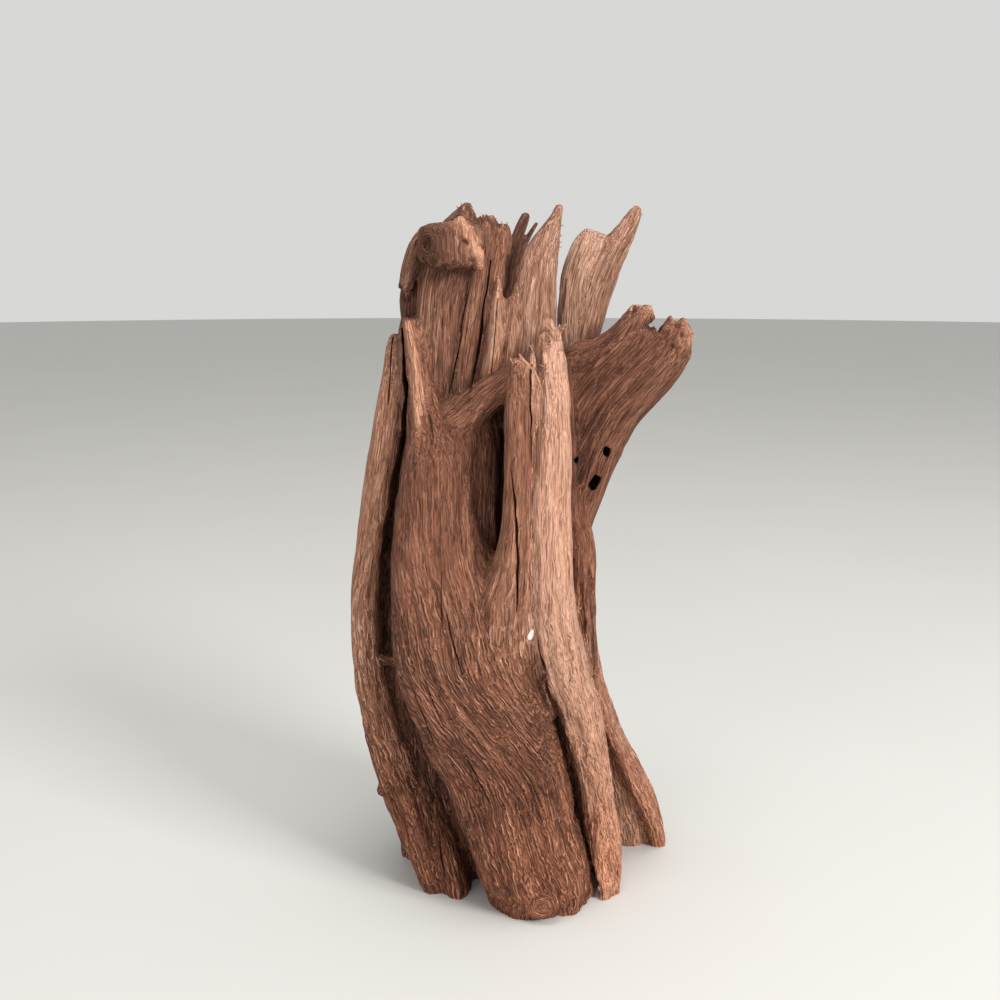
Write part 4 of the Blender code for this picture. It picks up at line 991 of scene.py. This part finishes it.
def grow_together(obj, voxel):
    """Makes one skin of all that the object holds, with faces of one size."""
    remesh = obj.modifiers.new("grow together", "REMESH")
    remesh.mode = "VOXEL"
    remesh.voxel_size = voxel
    apply_modifiers(obj)


def driftwood():
    """The whole weathered fragment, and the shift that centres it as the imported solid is."""
    grain_map = Grain(drawn_strands())
    wood = new_object("weathered_wood", grain_map.joined)
    grow_together(wood, FIRST_VOXEL)
    wear_smooth(wood)
    cut_clefts(wood)
    keep_largest(wood)
    grow_together(wood, VOXEL)
    raise_grain(wood, grain_map)
    thin = wood.modifiers.new("fewer faces", "DECIMATE")
    thin.ratio = MOST_TRIANGLES / sum(len(face.vertices) - 2 for face in wood.data.polygons)
    apply_modifiers(wood)
    drop_flaps(wood)
    cut_clefts(wood, THIN_CRACK)
    saw_level(wood)
    keep_largest(wood)
    note_grain(wood, grain_map)
    points = points_of(wood)
    shift = -(points.min(0) + points.max(0)) / 2
    return wood, Vector((shift[0], shift[1], 0))


def node(tree, kind, inputs=None, **settings):
    """Adds a shader node. An input is given a value, or a socket that is linked to it."""
    made = tree.nodes.new(kind)
    for name, value in settings.items():
        setattr(made, name, value)
    for name, value in (inputs or {}).items():
        if isinstance(value, bpy.types.NodeSocket):
            tree.links.new(value, made.inputs[name])
        else:
            made.inputs[name].default_value = value
    return made


def reckon(tree, operation, *values):
    """A Math node's result, clamped from 0 to 1 where the operation's name ends in a plus."""
    settings = dict(operation=operation.rstrip("+"), use_clamp=operation.endswith("+"))
    return node(tree, "ShaderNodeMath", dict(enumerate(values)), **settings).outputs[0]


def vector_math(tree, operation, first, second):
    """A Vector Math node's result for two vectors."""
    inputs = {0: first, 1: second}
    return node(tree, "ShaderNodeVectorMath", inputs, operation=operation).outputs[0]


def cloudy(tree, place, scale, detail, output="Fac"):
    """Even noise over the surface, as a value or as a colour."""
    inputs = {"Vector": place, "Scale": scale, "Detail": detail}
    return node(tree, "ShaderNodeTexNoise", inputs).outputs[output]


def object_place(tree):
    return node(tree, "ShaderNodeTexCoord").outputs["Object"]


def noted(tree, name, output="Fac"):
    """What note_grain wrote on the mesh under a name."""
    return node(tree, "ShaderNodeAttribute", attribute_name=name).outputs[output]


def drawn_out(tree, place, across, along, detail=2.0):
    """Noise drawn out along the grain: across and along are its sizes in table units."""
    size = (1 / across, 1 / across, 1 / along)
    scaled = vector_math(tree, "MULTIPLY", place, size)
    inputs = {"Vector": scaled, "Scale": 1.0, "Detail": detail, "Roughness": 0.6}
    return node(tree, "ShaderNodeTexNoise", inputs).outputs["Fac"]


def grooves(tree, noise_value, narrowness):
    """Thin lines where the noise crosses its middle: 1 at the line and 0 away from it."""
    off = reckon(tree, "ABSOLUTE", reckon(tree, "SUBTRACT", noise_value, 0.5))
    return reckon(tree, "MULTIPLY_ADD+", off, -narrowness, 1.0)


def mixed(tree, share, first, second):
    return node(tree, "ShaderNodeMix", {0: share, 2: first, 3: second}).outputs[0]


# Heights in metres above which the painted grain runs straight and below which it is gnarled, and how far
# beside a ridge its painted shadow line lies, in table units.
STRAIGHT_ABOVE, GNARLED_BELOW = 0.13, 0.065
SHADOW_OFFSET = 0.42


def wood_grain():
    """Node group: the fibres, streaks, bands, grooves and ridges of weathered wood, and their height. The
    grooves include a dark line beside each ridge, which is its painted shadow.
    """
    tree = bpy.data.node_groups.new("wood grain", "ShaderNodeTree")
    for name in ("Fibres", "Streaks", "Bands", "Grooves", "Ridges", "Height"):
        tree.interface.new_socket(name, in_out="OUTPUT", socket_type="NodeSocketFloat")
    grain = noted(tree, "grain", "Vector")
    spot = object_place(tree)
    bend = vector_math(tree, "MULTIPLY", cloudy(tree, spot, 170.0, 2.0, "Color"), (2.0, 2.0, 0.0))
    crinkle = vector_math(tree, "MULTIPLY", cloudy(tree, spot, 480.0, 2.0, "Color"), (0.6, 0.6, 0.0))
    bend = vector_math(tree, "ADD", bend, crinkle)
    height_above = node(tree, "ShaderNodeSeparateXYZ", {"Vector": spot}).outputs["Z"]
    low = {"Value": height_above, "From Min": STRAIGHT_ABOVE, "From Max": GNARLED_BELOW}
    gnarled = node(tree, "ShaderNodeMapRange", low, interpolation_type="SMOOTHSTEP").outputs[0]
    bending = {0: bend, "Scale": reckon(tree, "MULTIPLY_ADD", gnarled, 0.75, 0.25)}
    bend = node(tree, "ShaderNodeVectorMath", bending, operation="SCALE").outputs[0]
    place = vector_math(tree, "ADD", grain, bend)
    fibres = drawn_out(tree, place, 0.28, 5.0, 3.0)
    streaks = drawn_out(tree, place, 0.8, 14)
    bands = drawn_out(tree, place, 4.0, 40)
    wide_grooves = grooves(tree, drawn_out(tree, place, 1.6, 18, 1.0), 16.0)
    moved = vector_math(tree, "ADD", place, (31.0, 17.0, 53.0))
    # The ridges' lines moved sideways: the painted shadow lines beside them.
    shaded = vector_math(tree, "ADD", moved, (SHADOW_OFFSET, 0.0, 0.0))
    wavy = []
    for side in (moved, shaded):
        fine = grooves(tree, drawn_out(tree, side, 0.8, 9, 1.0), 13.0)
        broad = grooves(tree, drawn_out(tree, side, 1.5, 18, 1.0), 18.0)
        wavy.append(reckon(tree, "MULTIPLY_ADD+", fine, 0.5, broad))
    wavy_ridges, ridge_shadow_grooves = wavy
    straight_grooves = grooves(tree, drawn_out(tree, place, 0.55, 26, 1.0), 9.0)
    straight_ridges = grooves(tree, drawn_out(tree, moved, 0.6, 24, 1.0), 10.0)
    lines = mixed(tree, gnarled, reckon(tree, "MULTIPLY", straight_grooves, 0.6), ridge_shadow_grooves)
    ridges = mixed(tree, gnarled, reckon(tree, "MULTIPLY", straight_ridges, 0.4), wavy_ridges)
    lines = reckon(tree, "MULTIPLY_ADD+", wide_grooves, 0.6, lines)
    height = reckon(tree, "MULTIPLY_ADD", streaks, 0.3, reckon(tree, "MULTIPLY", fibres, 0.7))
    height = reckon(tree, "MULTIPLY_ADD", lines, -0.4, height)
    height = reckon(tree, "MULTIPLY_ADD", ridges, 0.6, height)
    out = node(tree, "NodeGroupOutput")
    values = dict(Fibres=fibres, Streaks=streaks, Bands=bands, Grooves=lines, Ridges=ridges, Height=height)
    for name, value in values.items():
        tree.links.new(value, out.inputs[name])
    return tree


def ramp_of(tree, value, stops):
    """A colour read from stops of (place, colour) by a value from 0 to 1."""
    ramp = node(tree, "ShaderNodeValToRGB", {"Fac": value})
    steps = ramp.color_ramp.elements
    while len(steps) < len(stops):
        steps.new(0.5)
    for step, (place, colour) in zip(steps, stops):
        step.position = place
        step.color = (*colour, 1)
    return ramp.outputs["Color"]


def new_material(name):
    """A material with its node tree and its Principled shader."""
    material = bpy.data.materials.new(name)
    material.use_nodes = True
    return material, material.node_tree, material.node_tree.nodes["Principled BSDF"]


# Colours of the wood from the darkest tone to the palest, and of the greyed wood in the crown.
WOOD_COLOURS = (
    (0.0, (0.030, 0.012, 0.008)),
    (0.25, (0.105, 0.040, 0.023)),
    (0.5, (0.225, 0.092, 0.054)),
    (0.75, (0.380, 0.188, 0.117)),
    (1.0, (0.640, 0.362, 0.255)),
)
GREY_WOOD_COLOURS = ((0.0, (0.03, 0.02, 0.017)), (0.5, (0.19, 0.125, 0.095)), (1.0, (0.52, 0.41, 0.33)))
WARMTH = (1.15, 0.93, 0.78, 1.0)  # what the reddest wood's colour is multiplied by


def weathered_wood(grain_group):
    """Bleached reddish brown wood, greyer in the crown, with painted highlights on its ridges and painted shade
    in its furrows and clefts.
    """
    material, tree, shader = new_material("weathered wood")
    grain = node(tree, "ShaderNodeGroup", node_tree=grain_group).outputs
    tint = noted(tree, "tint", "Vector")
    lightness, greyness, redness = node(tree, "ShaderNodeSeparateXYZ", {"Vector": tint}).outputs
    spot = object_place(tree)

    tone = reckon(tree, "MULTIPLY_ADD", lightness, 0.62, -0.13)
    for value, share, middle in (
        (grain["Fibres"], 0.6, 0.5),
        (grain["Streaks"], 0.25, 0.5),
        (grain["Bands"], 0.45, 0.5),
        (cloudy(tree, spot, 60.0, 3.0), 0.4, 0.5),
        # Painted shade in the grooves, with a painted shadow beside each ridge, and painted highlights on the
        # ridges.
        (grain["Grooves"], -0.32, 0.15),
        (grain["Ridges"], 0.42, 0.15),
        # Painted shade in the furrows.
        (noted(tree, "furrow"), -0.1, 0.1),
        # Painted shade in the clefts, by how hidden the wood is.
        (noted(tree, "painted_cleft_shade"), -0.28, 0.1),
    ):
        tone = reckon(tree, "ADD", tone, reckon(tree, "MULTIPLY_ADD", value, share, -share * middle))
    tone = reckon(tree, "MAXIMUM", tone, 0.0)
    colour = ramp_of(tree, tone, WOOD_COLOURS)
    grey = reckon(tree, "MULTIPLY_ADD", cloudy(tree, spot, 95.0, 4.0), 1.6, -0.3)
    grey = reckon(tree, "MULTIPLY+", grey, reckon(tree, "MULTIPLY", greyness, 1.6))
    grey_wood = ramp_of(tree, tone, GREY_WOOD_COLOURS)
    aged = node(tree, "ShaderNodeMix", {0: grey, 6: colour, 7: grey_wood}, data_type="RGBA").outputs[2]
    warm = reckon(tree, "MULTIPLY+", redness, 2.2)
    warmed = {0: warm, 6: aged, 7: WARMTH}
    red = node(tree, "ShaderNodeMix", warmed, data_type="RGBA", blend_type="MULTIPLY").outputs[2]
    tree.links.new(red, shader.inputs["Base Color"])
    rough = reckon(tree, "MULTIPLY_ADD", grain["Fibres"], -0.14, 0.9)
    tree.links.new(rough, shader.inputs["Roughness"])
    shader.inputs["Specular IOR Level"].default_value = 0.25
    bump = node(tree, "ShaderNodeBump", {"Strength": 1.0, "Distance": 0.0009, "Height": grain["Height"]})
    tree.links.new(bump.outputs["Normal"], shader.inputs["Normal"])
    return material


def bare_wood(name, dark, light, roughness):
    """Freshly torn wood, paler than the weathered skin."""
    material, tree, shader = new_material(name)
    speckle = cloudy(tree, object_place(tree), 900.0, 3.0)
    tree.links.new(ramp_of(tree, speckle, ((0.3, dark), (0.7, light))), shader.inputs["Base Color"])
    shader.inputs["Roughness"].default_value = roughness
    shader.inputs["Specular IOR Level"].default_value = 0.25
    bump = node(tree, "ShaderNodeBump", {"Strength": 0.6, "Distance": 0.0002, "Height": speckle})
    tree.links.new(bump.outputs["Normal"], shader.inputs["Normal"])
    return material


def torn_fibres(tree):
    """The loose fibres that stand up where the wood has torn, each rooted in its surface."""
    draw = random.Random(23)
    fibres = bmesh.new()
    together = bpy.data.meshes.new("torn_fibres")
    paths = [CURVED_FIBRE]
    for start, end, way, length, count in TUFTS:
        start, end, way = Vector(start), Vector(end), Vector(way).normalized()
        for _ in range(count):
            spot = start.lerp(end, draw.random()) + Vector([draw.uniform(-0.5, 0.5) for _ in range(3)])
            root = tree.find_nearest(spot)[0]
            lean = Vector([draw.uniform(-0.6, 0.6) for _ in range(3)])
            curl = Vector([draw.uniform(-0.9, 0.9) for _ in range(3)])
            heading = (way + lean).normalized()
            reach = length * draw.uniform(0.5, 1.2)
            thick = draw.uniform(0.12, 0.28)
            path = [(*(root - heading * 0.8), thick, thick)]
            place = root.copy()
            for part in range(4):
                path.append((*place, thick * (1 - 0.2 * part), thick * (1 - 0.2 * part)))
                heading = (heading + curl * 0.45).normalized()
                place = place + heading * reach / 3
            paths.append(path)
    for path in paths:
        shape = Strand(path, ridge=0, step=0.6).shape(fewest_sides=5)
        shape.to_mesh(together)
        shape.free()
        fibres.from_mesh(together)
    fibres.to_mesh(together)
    fibres.free()
    return new_object("torn_fibres", together)


def pale_chip(tree):
    """The small pale chip that sits in the seam beside the column."""
    x, z, half_width, half_height, thickness = CHIP
    place, facing = tree.ray_cast(Vector((x, -80, z)), Vector((0, 1, 0)))[:2]
    shape = bmesh.new()
    bmesh.ops.create_icosphere(shape, subdivisions=3, radius=1)
    for vert in shape.verts:
        vert.co *= 1 + 0.35 * noise.noise(vert.co * 1.3 + Vector((4, 0, 0)))
    size = Matrix.Diagonal((half_width, half_height, thickness, 1))
    turned = facing.to_track_quat("Z", "Y").to_matrix().to_4x4()
    tilt = Matrix.Rotation(CHIP_TILT, 4, "Z")
    bmesh.ops.transform(shape, matrix=Matrix.Translation(place) @ turned @ tilt @ size, verts=shape.verts)
    bmesh.ops.recalc_face_normals(shape, faces=shape.faces)
    return object_from("pale_chip", shape)


def pale_floor():
    """A wide round floor under the sculpture."""
    shape = bmesh.new()
    bmesh.ops.create_circle(shape, cap_ends=True, segments=96, radius=4.0)
    floor = object_from("floor", shape)
    material, tree, shader = new_material("pale floor")
    cloud = cloudy(tree, object_place(tree), 9.0, 4.0)
    colours = ((0.0, (0.53, 0.525, 0.505)), (1.0, (0.56, 0.555, 0.535)))
    tree.links.new(ramp_of(tree, cloud, colours), shader.inputs["Base Color"])
    shader.inputs["Roughness"].default_value = 0.7
    floor.data.materials.append(material)


def soft_lamp(name, place, target, size, power, colour):
    """A square soft box at place that shines on target."""
    lamp = bpy.data.lights.new(name, "AREA")
    lamp.size = size
    lamp.energy = power
    lamp.color = colour
    obj = bpy.data.objects.new(name, lamp)
    obj.location = place
    obj.rotation_euler = (Vector(target) - Vector(place)).to_track_quat("-Z", "Y").to_euler()
    bpy.context.scene.collection.objects.link(obj)


def light_studio():
    middle = (0, 0, 0.09)
    soft_lamp("window light", (0.66, -0.62, 0.62), middle, 0.35, 10.5, (1.0, 0.98, 0.95))
    soft_lamp("top light", (0.0, -0.25, 1.1), middle, 0.5, 5, (1.0, 0.99, 0.97))
    soft_lamp("fill light", (-0.5, -0.9, 0.35), middle, 0.8, 3.5, (0.97, 0.98, 1.0))
    world = bpy.data.worlds.new("studio")
    world.use_nodes = True
    background = world.node_tree.nodes["Background"]
    background.inputs["Color"].default_value = (0.9, 0.9, 0.88, 1)
    background.inputs["Strength"].default_value = 0.76
    bpy.context.scene.world = world


# The photograph's view: the place of the lens in table units, how far it looks down and its length in mm.
LENS_PLACE = Vector((-6, -305, 173))
LOOK_DOWN = math.radians(11.3)
LENS = 41.4


def set_camera(shift):
    camera = bpy.data.cameras.new("photo view")
    camera.lens = LENS
    camera.sensor_width = 36
    camera.clip_start = 0.01
    obj = bpy.data.objects.new("photo view", camera)
    obj.location = (LENS_PLACE + shift) * UNIT
    obj.rotation_euler = (math.radians(90) - LOOK_DOWN, 0, 0)
    bpy.context.scene.collection.objects.link(obj)
    bpy.context.scene.camera = obj


def dress(piece, material, shift):
    """Puts a finished piece in its place in metres, and gives it its material and body."""
    mesh = piece.data
    mesh.transform(Matrix.Diagonal((UNIT, UNIT, UNIT, 1)) @ Matrix.Translation(shift))
    mesh.shade_smooth()
    mesh.set_sharp_from_angle(angle=SHARPEST_TURN)
    mesh.materials.clear()
    mesh.materials.append(material)
    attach(piece, "root")


def main():
    grain_group = wood_grain()
    wood, shift = driftwood()
    tree = BVHTree.FromObject(wood, bpy.context.evaluated_depsgraph_get())
    fibres = torn_fibres(tree)
    chip = pale_chip(tree)
    dress(wood, weathered_wood(grain_group), shift)
    dress(fibres, bare_wood("torn fibre", (0.3, 0.14, 0.08), (0.5, 0.28, 0.18), 0.8), shift)
    dress(chip, bare_wood("pale chip", (0.62, 0.58, 0.52), (0.8, 0.78, 0.74), 0.6), shift)
    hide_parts("driftwood")
    pale_floor()
    light_studio()
    set_camera(shift)
    bpy.context.scene.view_settings.view_transform = "Standard"


main()
